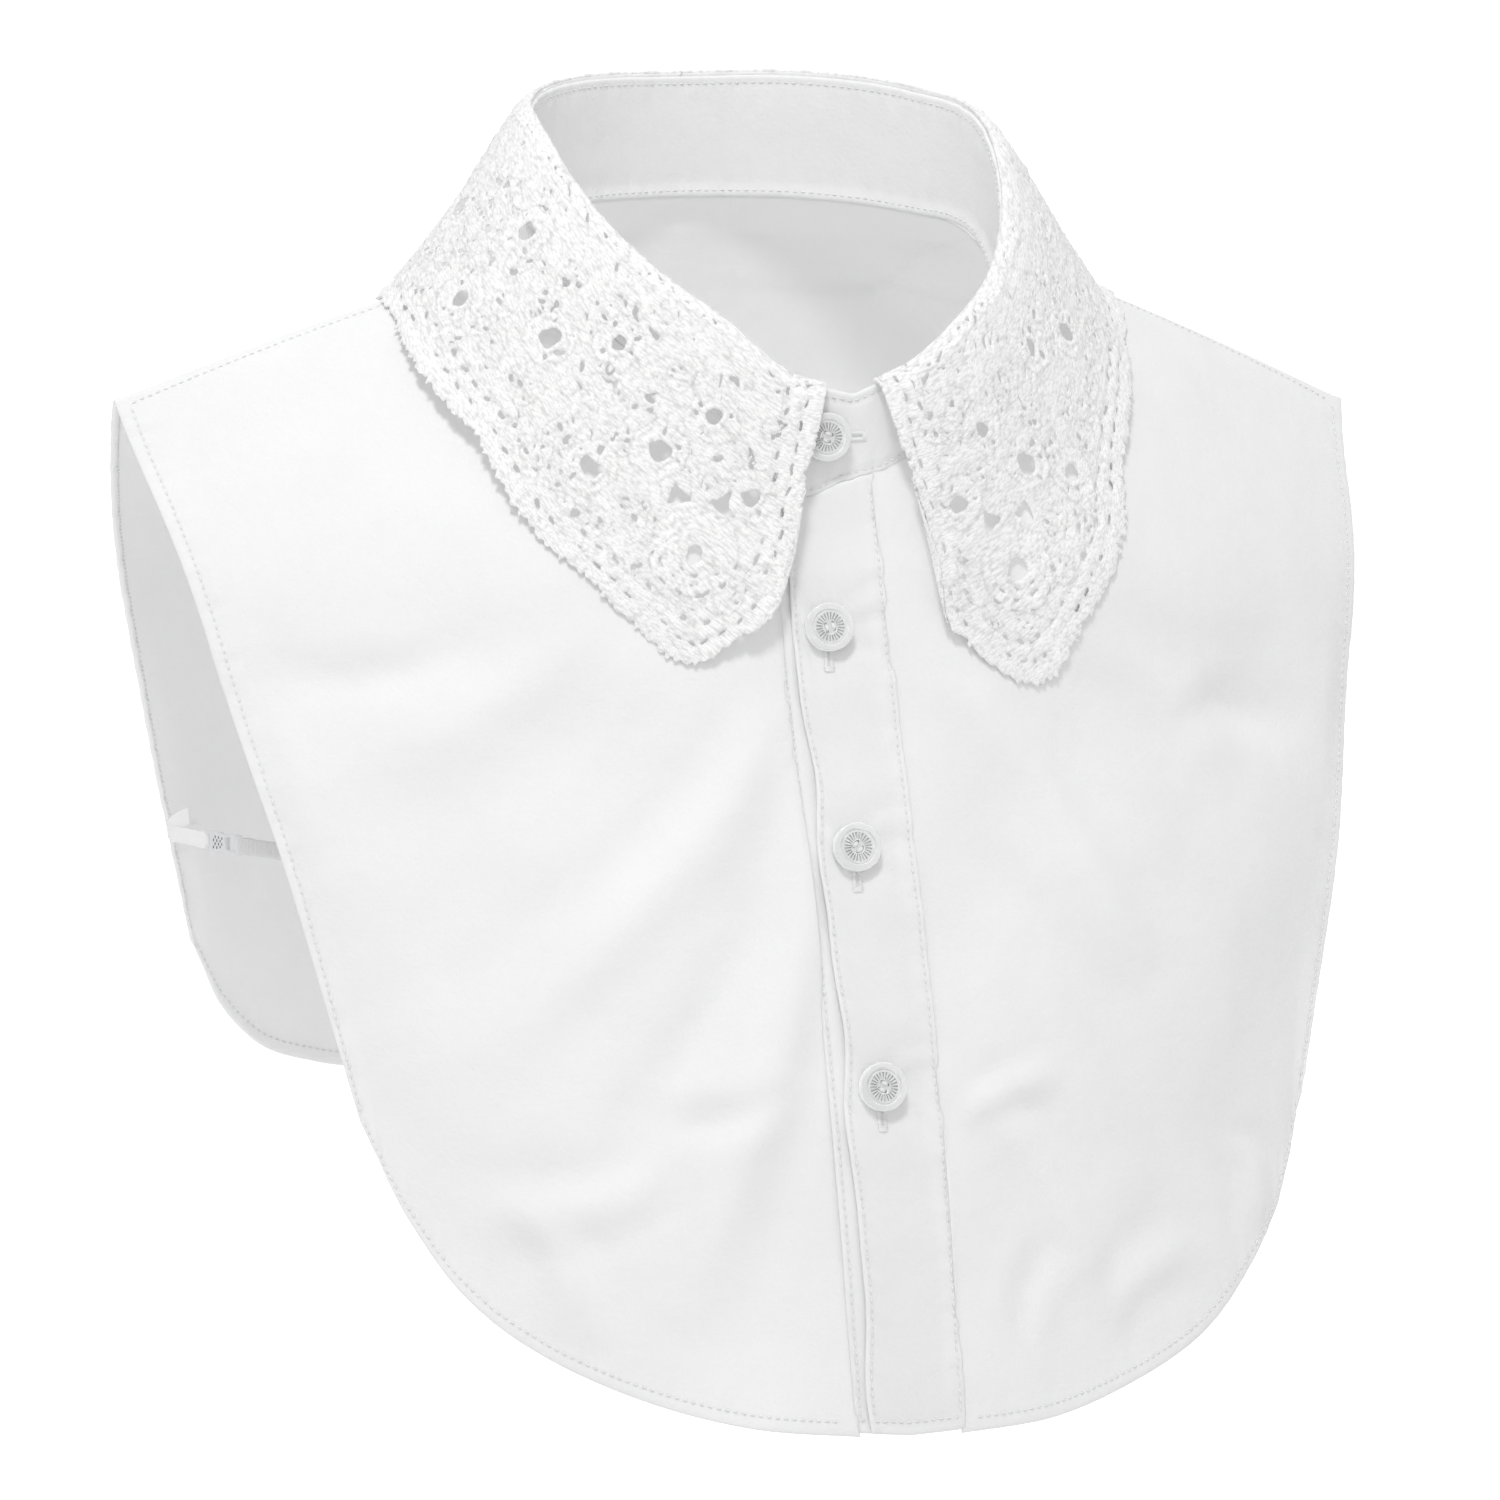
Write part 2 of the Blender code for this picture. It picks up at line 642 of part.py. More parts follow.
def build_straps(cloth, cloth_roughness):
    """Tape, hook and elastic on each side."""
    for side, word in ((1, "left"), (-1, "right")):
        route = strap_route(side)
        steps = np.linalg.norm(np.diff(route, axis=0), axis=1)
        travelled = np.concatenate([[0], np.cumsum(steps)])
        span_start, span_end = travelled[2], travelled[-3]
        hook_start = span_start + (span_end - span_start) * TAPE_SHARE
        hook_end = hook_start + (span_end - span_start) * HOOK_SHARE

        def stretch(first, last, count):
            reach = np.linspace(first, last, count)
            return np.stack([np.interp(reach, travelled, route[:, axis]) for axis in range(3)], -1)

        ribbon("strap_back_" + word, stretch(0, hook_start - SEAM_GAP / 2, 14), STRAP_WIDTH,
               STRAP_THICKNESS, cloth, cloth_roughness)
        ribbon("hook_" + word, stretch(hook_start + SEAM_GAP / 2, hook_end - SEAM_GAP / 2, 7), HOOK_WIDTH,
               HOOK_PLATE, (0.82, 0.83, 0.84), 0.3)
        ribbon("strap_front_" + word, stretch(hook_end + SEAM_GAP / 2, travelled[-1], 14), STRAP_WIDTH,
               STRAP_THICKNESS, cloth, cloth_roughness)


def main():
    for piece in list(bpy.data.objects):
        bpy.data.objects.remove(piece, do_unlink=True)
    cloth = (0.86, 0.86, 0.87)
    lace = (0.93, 0.93, 0.93)
    cloth_roughness = 0.85
    left, right, back, over = build_panels(cloth, cloth_roughness)
    body = body_tree([left, right, back])
    build_stand(cloth, cloth_roughness)
    build_collar(lace, 0.9, body)
    build_buttons(over)
    build_straps(cloth, cloth_roughness)


main()
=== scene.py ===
"""Looks of a lace-collared dickey, laid out as an add-on with one operator for each group of pieces.

X runs to the wearer's left, the front faces -Y and Z is up. Lengths in this file are millimetres, and
they become metres where a mesh is made.
"""

import math

import bmesh
import bpy
import numpy as np
from mathutils import Matrix, Vector
from mathutils.bvhtree import BVHTree
from mathutils.kdtree import KDTree


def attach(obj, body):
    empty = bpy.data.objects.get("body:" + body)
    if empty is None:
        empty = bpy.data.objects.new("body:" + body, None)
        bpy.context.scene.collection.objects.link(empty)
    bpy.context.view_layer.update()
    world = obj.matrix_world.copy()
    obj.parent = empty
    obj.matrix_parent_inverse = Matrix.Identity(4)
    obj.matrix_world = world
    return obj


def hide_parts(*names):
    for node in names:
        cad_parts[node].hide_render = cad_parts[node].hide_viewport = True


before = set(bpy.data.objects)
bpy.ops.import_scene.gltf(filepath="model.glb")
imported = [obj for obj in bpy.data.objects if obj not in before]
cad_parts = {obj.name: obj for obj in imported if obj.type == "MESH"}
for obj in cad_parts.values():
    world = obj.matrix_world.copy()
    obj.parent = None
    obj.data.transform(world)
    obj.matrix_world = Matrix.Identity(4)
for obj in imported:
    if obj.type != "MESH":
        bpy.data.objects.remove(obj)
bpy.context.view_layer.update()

bl_info = {
    "name": "Lace-collared dickey",
    "version": (1, 0, 0),
    "blender": (4, 5, 0),
    "location": "3D View > Sidebar > Dickey",
    "description": "Cloth, lace, sewing, buttons and straps of a false shirt front",
    "category": "Object",
}

MILLIMETRE = 0.001

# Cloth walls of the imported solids
WALL = 1.2
SEAM_GAP = 0.3
LAYER = WALL + SEAM_GAP

# Shoulder line, from the side of the neck to the shoulder's tip
NECK_CENTRE_X = -4.0
NECK_HALF_WIDTH = 59.0
NECK_HALF_DEPTH = 59.0
SHOULDER_NECK_Y = 5.0
SHOULDER_NECK_Z = 22.0
SHOULDER_TIP_X = 166.5
SHOULDER_TIP_Y = 22.0
SHOULDER_TIP_Z = -18.0
SHOULDER_CROWN = 1.2

# The body form's depth at the centre line and at the side edge, by the drop below the origin
# Columns: drop, centre y, side x, side y
FRONT_FORM = [
    (-50, -50, 175, 34),
    (19, -59, 165, 12),
    (43, -63, 160, -4),
    (88, -72, 148.5, -22),
    (126, -82, 140, -39),
    (163, -90, 132, -48),
    (200, -97, 121, -58),
    (262, -105, 104, -75),
]
BACK_FORM = [
    (-50, 54, 175, 36),
    (19, 73, 165, 42),
    (39, 77, 162, 46),
    (68, 83, 156, 50),
    (95, 86, 150, 54),
    (111, 87.5, 145.5, 57),
    (137, 88, 137, 61),
    (168, 88, 124, 67),
    (200, 86, 112, 72),
]
FORM_ROUNDNESS = 2.2

# How far the form takes to turn from the shoulder's top to the upright, by distance from the centre
# Columns: x, front, back
SHOULDER_TURN = [
    (0, 80, 22),
    (59, 80, 22),
    (110, 74, 45),
    (165, 60, 60),
]
TURN_POWER = 0.75

# Side edge and hem of each panel, from the centre of the hem up to the corner where the side begins
# Columns: share of the hem, x, drop
FRONT_HEM = [
    (0.0, 0, 260.5),
    (0.14, 30, 258),
    (0.30, 60, 251),
    (0.46, 85, 240.5),
    (0.61, 101, 228.5),
    (0.78, 114, 211),
    (1.0, 125.5, 187),
]
BACK_HEM = [
    (0.0, 0, 196),
    (0.3, 50, 195),
    (0.6, 92, 191),
    (0.78, 110, 184),
    (0.88, 120, 174),
    (1.0, 129, 158),
]
SIDE_BULGE = 0.8
SEAM_DEGREES = 94.0
NECK_SHARES = {"front": 7 / 18, "back": 6 / 16}

# Neckline and collar fold around the neck
# Columns: degrees from the centre front, neckline z, fold z
NECK_RING = [
    (0, -32.5, -9.8),
    (15, -26.5, -3.5),
    (30, -17, 6.5),
    (45, -8, 15.5),
    (60, 1.5, 26),
    (75, 12, 38),
    (90, 21, 49),
    (120, 26.5, 57),
    (150, 30, 61),
    (180, 31.5, 62),
]
NECK_LEAN = 3.5
CLOSURE_DIP = 3.0
CLOSURE_DIP_DEGREES = -16.0
CLOSURE_DIP_SPREAD = 12.0

# The neck seam's lowest place lies under the over end of the stand
SEAM_DIP = 5.0
SEAM_DIP_DEGREES = -13.0
SEAM_DIP_SPREAD = 9.0
SEAM_ROUNDING = 1.7
SEAM_ROUNDING_SPREAD = 5.0

# Front closure: the wearer's left band lies over the right one
CLOSURE_TOP_X = -11.5
CLOSURE_HEM_X = 1.0
CLOSURE_TOP_DROP = 30.0
CLOSURE_HEM_DROP = 262.0
OVER_BAND_FREE_EDGE = -11.5
OVER_BAND_SEAM = 12.5
UNDER_BAND_SEAM = -14.5
UNDER_BAND_FREE_EDGE = 9.0
CLOSURE_FADE = 34.0

# Collar stand ends, in degrees from the centre front towards the wearer's left
STAND_OVER_END = -21.0
STAND_UNDER_END = 359.0
STAND_FADE_DEGREES = 36.0
STAND_SEAM_GAPS = 3

# Outer edge of each collar leaf, from its front corner to the centre back
# Columns: share of the leaf, degrees of the fold that it hangs from, x, y, z
RIGHT_LEAF_EDGE = [
    (0.0, 8.0, -22.5, -70, -48),
    (0.04, 14.0, -27.5, -71, -61),
    (0.10, 25.0, -43.5, -68, -73.5),
    (0.20, 36.0, -61, -61, -64),
    (0.31, 49.0, -80, -50, -45),
    (0.42, 63.0, -92, -35, -23),
    (0.53, 79.0, -101, -10, -2),
    (0.62, 94.0, -99, 16, 9),
    (0.72, 113.0, -86, 40, 4),
    (0.83, 137.0, -58, 57, 4),
    (0.92, 158.0, -28, 67, 7),
    (1.0, 179.85, -0.15, 70, 8),
]
LEFT_LEAF_EDGE = [
    (0.0, 6.0, 15.5, -70, -50),
    (0.04, 12.0, 18.5, -71, -65),
    (0.10, 22.0, 39, -69, -79),
    (0.20, 33.0, 56.5, -62, -69),
    (0.31, 48.0, 70.5, -52, -47),
    (0.42, 63.0, 80, -36, -20),
    (0.53, 79.0, 91, -9, -1),
    (0.62, 94.0, 93, 16, 11),
    (0.72, 113.0, 84, 40, 4),
    (0.83, 137.0, 58, 57, 4),
    (0.92, 158.0, 28, 67, 7),
    (1.0, 179.85, 0.15, 70, 8),
]
LEAF_SPANS = 52
LEAF_DEPTHS = 10
LEAF_CLEARANCE = 1.3
CLEARING_PASSES = 4
FOLD_HANDLE = 6.0
FOLD_RISE = 1.0
FOLD_GAPS = 2
FALL_HANDLE = 0.62

# Round holes in the lace wider than 4 mm, each at the heart of a flower
# Columns: station, row, radius
LEAF_HOLES = [
    (4, 5, 2.2),
    (7, 3, 2.2),
    (7, 7, 2.4),
    (11, 5, 2.8),
    (15, 7, 2.4),
    (16, 3, 2.2),
    (21, 5, 2.5),
    (26, 3, 2.2),
    (27, 7, 2.4),
    (32, 5, 2.8),
    (37, 3, 2.2),
    (38, 7, 2.4),
    (43, 5, 2.5),
    (48, 3, 2.2),
    (48, 7, 2.4),
]

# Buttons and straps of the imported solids
BUTTON_RADIUS = 6.0
BUTTON_THICKNESS = 2.6
BUTTON_SIDES = 48
BUTTON_GAP = 0.4
BUTTON_DROPS = {"button_upper": 67.0, "button_middle": 119.5, "button_lower": 176.5}
BUTTON_OFFSET = -2.6
NECK_BUTTON_X = -11.0
NECK_BUTTON_DROP = 20.5
STRAP_BACK_DROP = 129.5
STRAP_FRONT_DROP = 123.3
STRAP_WIDTH = 4.0
STRAP_SEAT = 9.0
STRAP_INSET = 2.1
STRAP_EDGE_MARGIN = 2.0
STRAP_BOW = 1.5
TAPE_SHARE = 0.36
HOOK_SHARE = 0.30
HOOK_PLATE = 1.6
HOOK_WIDTH = 5.2


class DickeySizes(bpy.types.PropertyGroup):
    """Sizes that change how the cloth, lace and sewing look."""

    cloth_thickness: bpy.props.FloatProperty(
        name="Cloth thickness", description="Thickness of one layer of the shirt cloth",
        default=0.0007, min=0.0002, max=0.002, subtype="DISTANCE", unit="LENGTH")
    hem_width: bpy.props.FloatProperty(
        name="Hem width", description="Width of the turned hems",
        default=0.0042, min=0.002, max=0.01, subtype="DISTANCE", unit="LENGTH")
    stitch_length: bpy.props.FloatProperty(
        name="Stitch length", description="Length of one machine stitch",
        default=0.0021, min=0.001, max=0.005, subtype="DISTANCE", unit="LENGTH")
    lace_thickness: bpy.props.FloatProperty(
        name="Lace thickness", description="Thickness of the lace's yarn",
        default=0.0007, min=0.0004, max=0.003, subtype="DISTANCE", unit="LENGTH")
    lace_cell: bpy.props.FloatProperty(
        name="Lace cell", description="Size of the grid that the lace is worked on",
        default=0.00078, min=0.0004, max=0.003, subtype="DISTANCE", unit="LENGTH")


class DickeyColours(bpy.types.PropertyGroup):
    """Colours of the cloth, lace, buttons and straps."""

    cloth: bpy.props.FloatVectorProperty(
        name="Cloth", description="Colour of the shirt cloth",
        default=(0.84, 0.84, 0.845), min=0.0, max=1.0, subtype="COLOR")
    lace: bpy.props.FloatVectorProperty(
        name="Lace", description="Colour of the lace yarn",
        default=(0.95, 0.95, 0.948), min=0.0, max=1.0, subtype="COLOR")
    thread: bpy.props.FloatVectorProperty(
        name="Thread", description="Colour of the sewing thread",
        default=(0.84, 0.84, 0.845), min=0.0, max=1.0, subtype="COLOR")
    resin: bpy.props.FloatVectorProperty(
        name="Resin", description="Colour of the clear buttons",
        default=(0.95, 0.953, 0.955), min=0.0, max=1.0, subtype="COLOR")
    hook: bpy.props.FloatVectorProperty(
        name="Hook", description="Colour of the moulded hooks",
        default=(0.82, 0.83, 0.84), min=0.0, max=1.0, subtype="COLOR")


def smooth(rows, column, at):
    """One column of a table, read on a smooth curve over its first column."""
    key = np.array([row[0] for row in rows], float)
    value = np.array([row[column] for row in rows], float)
    slope = np.gradient(value, key)
    at = np.clip(np.asarray(at, float), key[0], key[-1])
    i = np.clip(np.searchsorted(key, at, side="right") - 1, 0, len(key) - 2)
    step = key[i + 1] - key[i]
    u = (at - key[i]) / step
    start = (1 + 2 * u) * (1 - u) ** 2 * value[i] + u * (1 - u) ** 2 * step * slope[i]
    end = u * u * (3 - 2 * u) * value[i + 1] + u * u * (u - 1) * step * slope[i + 1]
    return start + end


def ease(value):
    """A smooth step from 0 to 1."""
    value = np.clip(value, 0.0, 1.0)
    return value * value * (3 - 2 * value)


def bump(distance, width):
    """A soft ridge of height 1 about distance 0."""
    return np.exp(-(distance / width) ** 2)


def shoulder(x):
    """Y and Z of the top of the shoulder at a distance from the centre line."""
    share = (np.abs(x) - NECK_HALF_WIDTH) / (SHOULDER_TIP_X - NECK_HALF_WIDTH)
    y = SHOULDER_NECK_Y + (SHOULDER_TIP_Y - SHOULDER_NECK_Y) * share
    z = SHOULDER_NECK_Z + (SHOULDER_TIP_Z - SHOULDER_NECK_Z) * share
    return y, z + SHOULDER_CROWN * np.sin(np.pi * np.clip(share, 0, 1))


def form_y(x, z, face):
    """Depth of the body form on one face, 'front' or 'back'."""
    rows = FRONT_FORM if face == "front" else BACK_FORM
    centre = smooth(rows, 1, -z)
    side_x = smooth(rows, 2, -z)
    side_y = smooth(rows, 3, -z)
    upright = centre + (side_y - centre) * (np.abs(x) / side_x) ** FORM_ROUNDNESS
    top_y, top_z = shoulder(x)
    turn = smooth(SHOULDER_TURN, 1 if face == "front" else 2, np.abs(x))
    fall = np.clip((top_z - z) / turn, 0.0, 1.0)
    return top_y + (upright - top_y) * (1 - (1 - fall) ** 2) ** TURN_POWER


def form_z(x, y, face):
    """Height of the body form above a place in plan."""
    high = shoulder(x)[1]
    low = high - smooth(SHOULDER_TURN, 1 if face == "front" else 2, np.abs(x))
    for _ in range(30):
        middle = (low + high) / 2
        depth = form_y(x, middle, face)
        inside = depth > y if face == "front" else depth < y
        high = np.where(inside, middle, high)
        low = np.where(inside, low, middle)
    return (low + high) / 2


def neck_point(degrees, column):
    """A point of the neck ring: column 1 is the neckline, column 2 the collar's fold."""
    turn = np.radians(degrees)
    signed = (np.asarray(degrees, float) + 180) % 360 - 180
    z = smooth(NECK_RING, column, np.abs(signed))
    z = z + NECK_LEAN * np.clip(np.sin(turn), 0, 1) * ease((signed - 50) / 60)
    z = z - CLOSURE_DIP * bump(signed - CLOSURE_DIP_DEGREES, CLOSURE_DIP_SPREAD)
    if column == 1:
        z = z + SEAM_ROUNDING * bump(signed, SEAM_ROUNDING_SPREAD)
        z = z - SEAM_DIP * bump(signed - SEAM_DIP_DEGREES, SEAM_DIP_SPREAD)
    x = NECK_CENTRE_X + NECK_HALF_WIDTH * np.sin(turn)
    return np.stack([x, -NECK_HALF_DEPTH * np.cos(turn), z], -1)


def neck_degrees(x):
    """The turn from the centre front at which the neck's front reaches a place."""
    return np.degrees(np.arcsin((np.asarray(x, float) - NECK_CENTRE_X) / NECK_HALF_WIDTH))


def neck_radial(degrees):
    """The level direction out of the neck."""
    turn = np.radians(degrees)
    return np.stack([np.sin(turn), -np.cos(turn), np.zeros_like(turn)], -1)


def closure_x(z):
    """The line through the buttons."""
    share = (-z - CLOSURE_TOP_DROP) / (CLOSURE_HEM_DROP - CLOSURE_TOP_DROP)
    return CLOSURE_TOP_X + (CLOSURE_HEM_X - CLOSURE_TOP_X) * share


def surface_normals(grid):
    """Unit normals of a grid of points."""
    normal = np.cross(np.gradient(grid, axis=0), np.gradient(grid, axis=1))
    length = np.linalg.norm(normal, axis=2, keepdims=True)
    return normal / np.maximum(length, 1e-9)


def offset(grid, distance):
    """A grid moved along its normals."""
    return grid + surface_normals(grid) * np.asarray(distance)[..., None]


def outward(grid, centre=(0.0, 0.0, -60.0)):
    """The grid with its columns turned where its normals point at the centre."""
    facing = ((grid - np.array(centre)) * surface_normals(grid)).sum()
    return grid if facing > 0 else grid[:, ::-1]


def travelled(points, axis):
    """Length along the grid's lines from their start."""
    steps = np.linalg.norm(np.diff(points, axis=axis), axis=-1)
    zero = np.zeros_like(np.take(steps, [0], axis=axis))
    return np.concatenate([zero, np.cumsum(steps, axis=axis)], axis=axis)


def panel_surface(face, starts, side, share, down):
    """Middle surface of a panel at shares across it and shares down it."""
    hem = FRONT_HEM if face == "front" else BACK_HEM
    neck_share = NECK_SHARES[face]
    first = 180.0 * side if face == "back" else float(neck_degrees(starts[0]))
    seam = side * SEAM_DEGREES
    at_neck = np.clip(share / neck_share, 0, 1)
    neck = neck_point(first + (seam - first) * at_neck, 1)
    seam_x = neck_point(np.array(seam), 1)[0]
    seam_point = np.array([seam_x, *shoulder(seam_x)])
    neck = neck + (seam_point - neck_point(np.array(seam), 1)) * (at_neck ** 8)[:, None]
    base = neck.copy()
    base[:, 2] = form_z(neck[:, 0], neck[:, 1], face)
    base[:, 2] += (seam_point[2] - form_z(seam_point[0], seam_point[1], face)) * at_neck ** 8
    out = np.clip((share - neck_share) / (1 - neck_share), 0, 1)
    ridge_x = side * (abs(seam_x) + (SHOULDER_TIP_X - abs(seam_x)) * out)
    ridge = np.stack([ridge_x, *shoulder(ridge_x)], -1)
    on_ridge = (share > neck_share)[:, None]
    top = np.where(on_ridge, ridge, neck)
    flat_top = np.where(on_ridge, ridge, base)
    hem_x = side * smooth(hem, 1, share)
    hem_z = -smooth(hem, 2, share)
    end_x = side * hem[-1][1]
    hem_x = starts[1] + hem_x * (end_x - starts[1]) / end_x
    down = down[:, None]
    fall = down ** 1.5
    x = flat_top[:, 0] + (hem_x - flat_top[:, 0]) * fall
    x = x + side * SIDE_BULGE * np.sin(np.pi * fall) * share ** 2
    z = flat_top[:, 2] + (hem_z - flat_top[:, 2]) * fall
    z = np.minimum(z, shoulder(x)[1])
    y = np.where(down == 0, flat_top[:, 1], form_y(x, z, face))
    grid = np.stack([x, y, z], -1)
    return grid + (top - flat_top) * ((1 - down) ** 4)[:, :, None]


def closure_lift(x, z):
    """How far the wearer's left front stands out, so that it lies over the right one."""
    return LAYER * (1 - ease((x - closure_x(z) - OVER_BAND_SEAM) / CLOSURE_FADE))


def band_surface(near, far, share, down):
    """Middle surface of a button band between two distances from the button line."""
    offsets = near + (far - near) * share
    top = neck_point(neck_degrees(CLOSURE_TOP_X + offsets), 1)
    hem_x = CLOSURE_HEM_X + offsets
    hem_z = -smooth(FRONT_HEM, 2, np.interp(np.abs(hem_x), [row[1] for row in FRONT_HEM],
                                            [row[0] for row in FRONT_HEM]))
    down = down[:, None]
    x = top[:, 0] + (hem_x - top[:, 0]) * down
    z = top[:, 2] + (hem_z - top[:, 2]) * down
    grid = np.stack([x, form_y(x, z, "front"), z], -1)
    return grid + (top - grid[0]) * ((1 - down) ** 4)[:, :, None]


def stand_point(degrees, share):
    """A point of the collar stand's middle surface, from its seam (0) to its top (1)."""
    degrees = np.asarray(degrees, float)
    base = neck_point(degrees, 1)
    top = neck_point(degrees, 2)
    base[..., 2] += WALL / 2 + STAND_SEAM_GAPS * SEAM_GAP
    point = base + (top - base) * np.asarray(share)[..., None]
    lift = LAYER * (1 - ease(degrees / STAND_FADE_DEGREES))
    return point + neck_radial(degrees) * lift[..., None]


def edged_shares(count, length, first=True, last=True):
    """Even shares from 0 to 1, with closer ones beside the ends so that an edge turns round."""
    close = np.array([0.25, 0.7, 1.3]) / length
    parts = [np.linspace(0, 1, count)]
    if first:
        parts.append(close)
    if last:
        parts.append(1 - close)
    return np.unique(np.round(np.concatenate(parts), 6))


def new_piece(name, points, faces, uv=None, values=None, sharp_degrees=None):
    """An object of millimetre points with its place in its mesh."""
    mesh = bpy.data.meshes.new(name)
    points = np.asarray(points, float) * MILLIMETRE
    faces = np.asarray(faces, np.int32)
    sides = faces.shape[1]
    mesh.vertices.add(len(points))
    mesh.vertices.foreach_set("co", points.astype(np.float32).ravel())
    mesh.loops.add(faces.size)
    mesh.loops.foreach_set("vertex_index", faces.ravel())
    mesh.polygons.add(len(faces))
    mesh.polygons.foreach_set("loop_start", np.arange(0, faces.size, sides, dtype=np.int32))
    mesh.update(calc_edges=True)
    mesh.validate()
    if uv is not None:
        layer = mesh.uv_layers.new(name="flat")
        index = np.zeros(len(mesh.loops), np.int32)
        mesh.loops.foreach_get("vertex_index", index)
        layer.data.foreach_set("uv", (np.asarray(uv)[index] * MILLIMETRE).astype(np.float32).ravel())
    for word, value in (values or {}).items():
        attribute = mesh.attributes.new(word, "FLOAT", "POINT")
        attribute.data.foreach_set("value", np.asarray(value, np.float32))
    mesh.shade_smooth()
    if sharp_degrees:
        mesh.set_sharp_from_angle(angle=math.radians(sharp_degrees))
    piece = bpy.data.objects.new(name, mesh)
    bpy.context.scene.collection.objects.link(piece)
    return piece


def closed_wall(name, outer, inner, faces, uv, values=None):
    """A wall between two point lists that share their faces, closed along every open edge."""
    count = len(outer)
    sides = faces.shape[1]
    first = faces.ravel()
    second = np.roll(faces, -1, axis=1).ravel()
    code = first.astype(np.int64) * count + second
    reverse = second.astype(np.int64) * count + first
    free = ~np.isin(code, reverse)
    first, second = first[free], second[free]
    if sides == 4:
        rim = np.stack([second, first, first + count, second + count], 1)
    else:
        rim = np.concatenate([np.stack([second, first, first + count], 1),
                              np.stack([second, first + count, second + count], 1)])
    everything = np.concatenate([faces, faces[:, ::-1] + count, rim])
    twice = {word: np.concatenate([value, value]) for word, value in (values or {}).items()}
    return new_piece(name, np.concatenate([outer, inner]), everything, np.concatenate([uv, uv]), twice)


def panel_uv(grid, face):
    """Flat places of a panel's threads: level and upright lengths over the body form."""
    level = np.linspace(-185.0, 185.0, 371)
    upright = np.linspace(-275.0, 30.0, 306)
    across = np.stack([level, form_y(level, np.full_like(level, -140.0), face)], -1)
    fall = np.stack([form_y(np.full_like(upright, 60.0), upright, face), upright], -1)
    return np.stack([np.interp(grid[..., 0], level, travelled(across, 0)),
                     np.interp(grid[..., 2], upright, travelled(fall, 0))], -1).reshape(-1, 2)


def cloth_wall(name, grid, thickness, raised_out=0.0, raised_in=0.0, uv=None):
    """A closed sheet of cloth about a grid, its edges rounded; returns the piece and its two faces.

    The inner face comes back with its columns turned, so that its normals point inward.
    """
    rows, columns = grid.shape[:2]
    normal = surface_normals(grid)
    reach = [travelled(grid, 0), travelled(grid, 1)]
    edge = np.minimum.reduce([reach[0], reach[0][-1:] - reach[0], reach[1], reach[1][:, -1:] - reach[1]])
    half = thickness / 2 * np.sqrt(np.clip(1 - (1 - np.clip(edge / 0.7, 0, 1)) ** 2, 0.05, 1))
    outer = grid + normal * (half + raised_out)[..., None]
    inner = grid - normal * (half + raised_in)[..., None]
    index = np.arange(rows * columns).reshape(rows, columns)
    faces = np.stack([index[:-1, :-1], index[1:, :-1], index[1:, 1:], index[:-1, 1:]], -1).reshape(-1, 4)
    if uv is None:
        uv = np.stack([reach[1], reach[0]], -1).reshape(-1, 2)
    piece = closed_wall(name, outer.reshape(-1, 3), inner.reshape(-1, 3), faces, uv)
    return piece, outer, inner[:, ::-1]


def from_edge(grid, edge):
    """Distance of each grid point from one edge of the grid."""
    axis = 0 if edge.endswith("row") else 1
    reach = travelled(grid, axis)
    if edge.startswith("first"):
        return reach
    return np.take(reach, [-1], axis=axis) - reach


def line_along(grid, edge, distance, skip=0.0):
    """Points and normals of a line at an even distance inside one edge of a grid."""
    away = from_edge(grid, edge)
    normal = surface_normals(grid)
    if edge.endswith("row"):
        grid, away, normal = (np.swapaxes(part, 0, 1) for part in (grid, away, normal))
    if edge.startswith("last"):
        grid, away, normal = grid[:, ::-1], away[:, ::-1], normal[:, ::-1]
    point = np.stack([[np.interp(distance, away[i], grid[i, :, k]) for k in range(3)] for i in range(len(grid))])
    up = np.stack([[np.interp(distance, away[i], normal[i, :, k]) for k in range(3)] for i in range(len(grid))])
    length = travelled(point, 0)
    kept = (length >= skip) & (length <= length[-1] - skip)
    return point[kept], up[kept]


def crease_depth(grid, rows):
    """Rise and fall of soft creases, each between two places in front view."""
    total = np.zeros(grid.shape[:2])
    x, z = grid[..., 0], grid[..., 2]
    for x0, z0, x1, z1, width, depth in rows:
        length = math.hypot(x1 - x0, z1 - z0)
        along = ((x - x0) * (x1 - x0) + (z - z0) * (z1 - z0)) / length
        across = ((x - x0) * (z1 - z0) - (z - z0) * (x1 - x0)) / length
        across = across + width * 0.6 * np.sin(along / length * 5.0)
        share = np.clip(along / length, 0, 1)
        fade = np.sin(np.pi * share) ** 0.8
        fade = fade * ((along > 0) & (along < length))
        wide = width * (0.7 + 0.6 * share)
        total += depth * fade * (bump(across, wide) - 0.45 * bump(np.abs(across) - 2.2 * wide, wide))
    return total


def seam_pucker(along, away, seed, reach=4.0, height=0.12):
    """The small uneven gathers that a row of stitches draws up beside it."""
    wave = np.sin(along / 1.15 + seed) + 0.7 * np.sin(along / 0.74 + 2.1 * seed) + 0.5 * np.sin(along / 2.9 + seed)
    return height * wave * bump(away, reach)


def slow_waves(grid, seed, height):
    """Broad soft unevenness of cloth that hangs free."""
    x, y, z = (grid[..., axis] for axis in range(3))
    wave = (np.sin(x / 17.0 + z / 29.0 + seed) + np.sin(x / 31.0 - z / 19.0 + 1.7 * seed)
            + 0.6 * np.sin(x / 9.5 + z / 13.0 + 2.3 * seed) + 0.5 * np.sin((x - z) / 11.0 + y / 15.0 + seed))
    return height * wave / 2


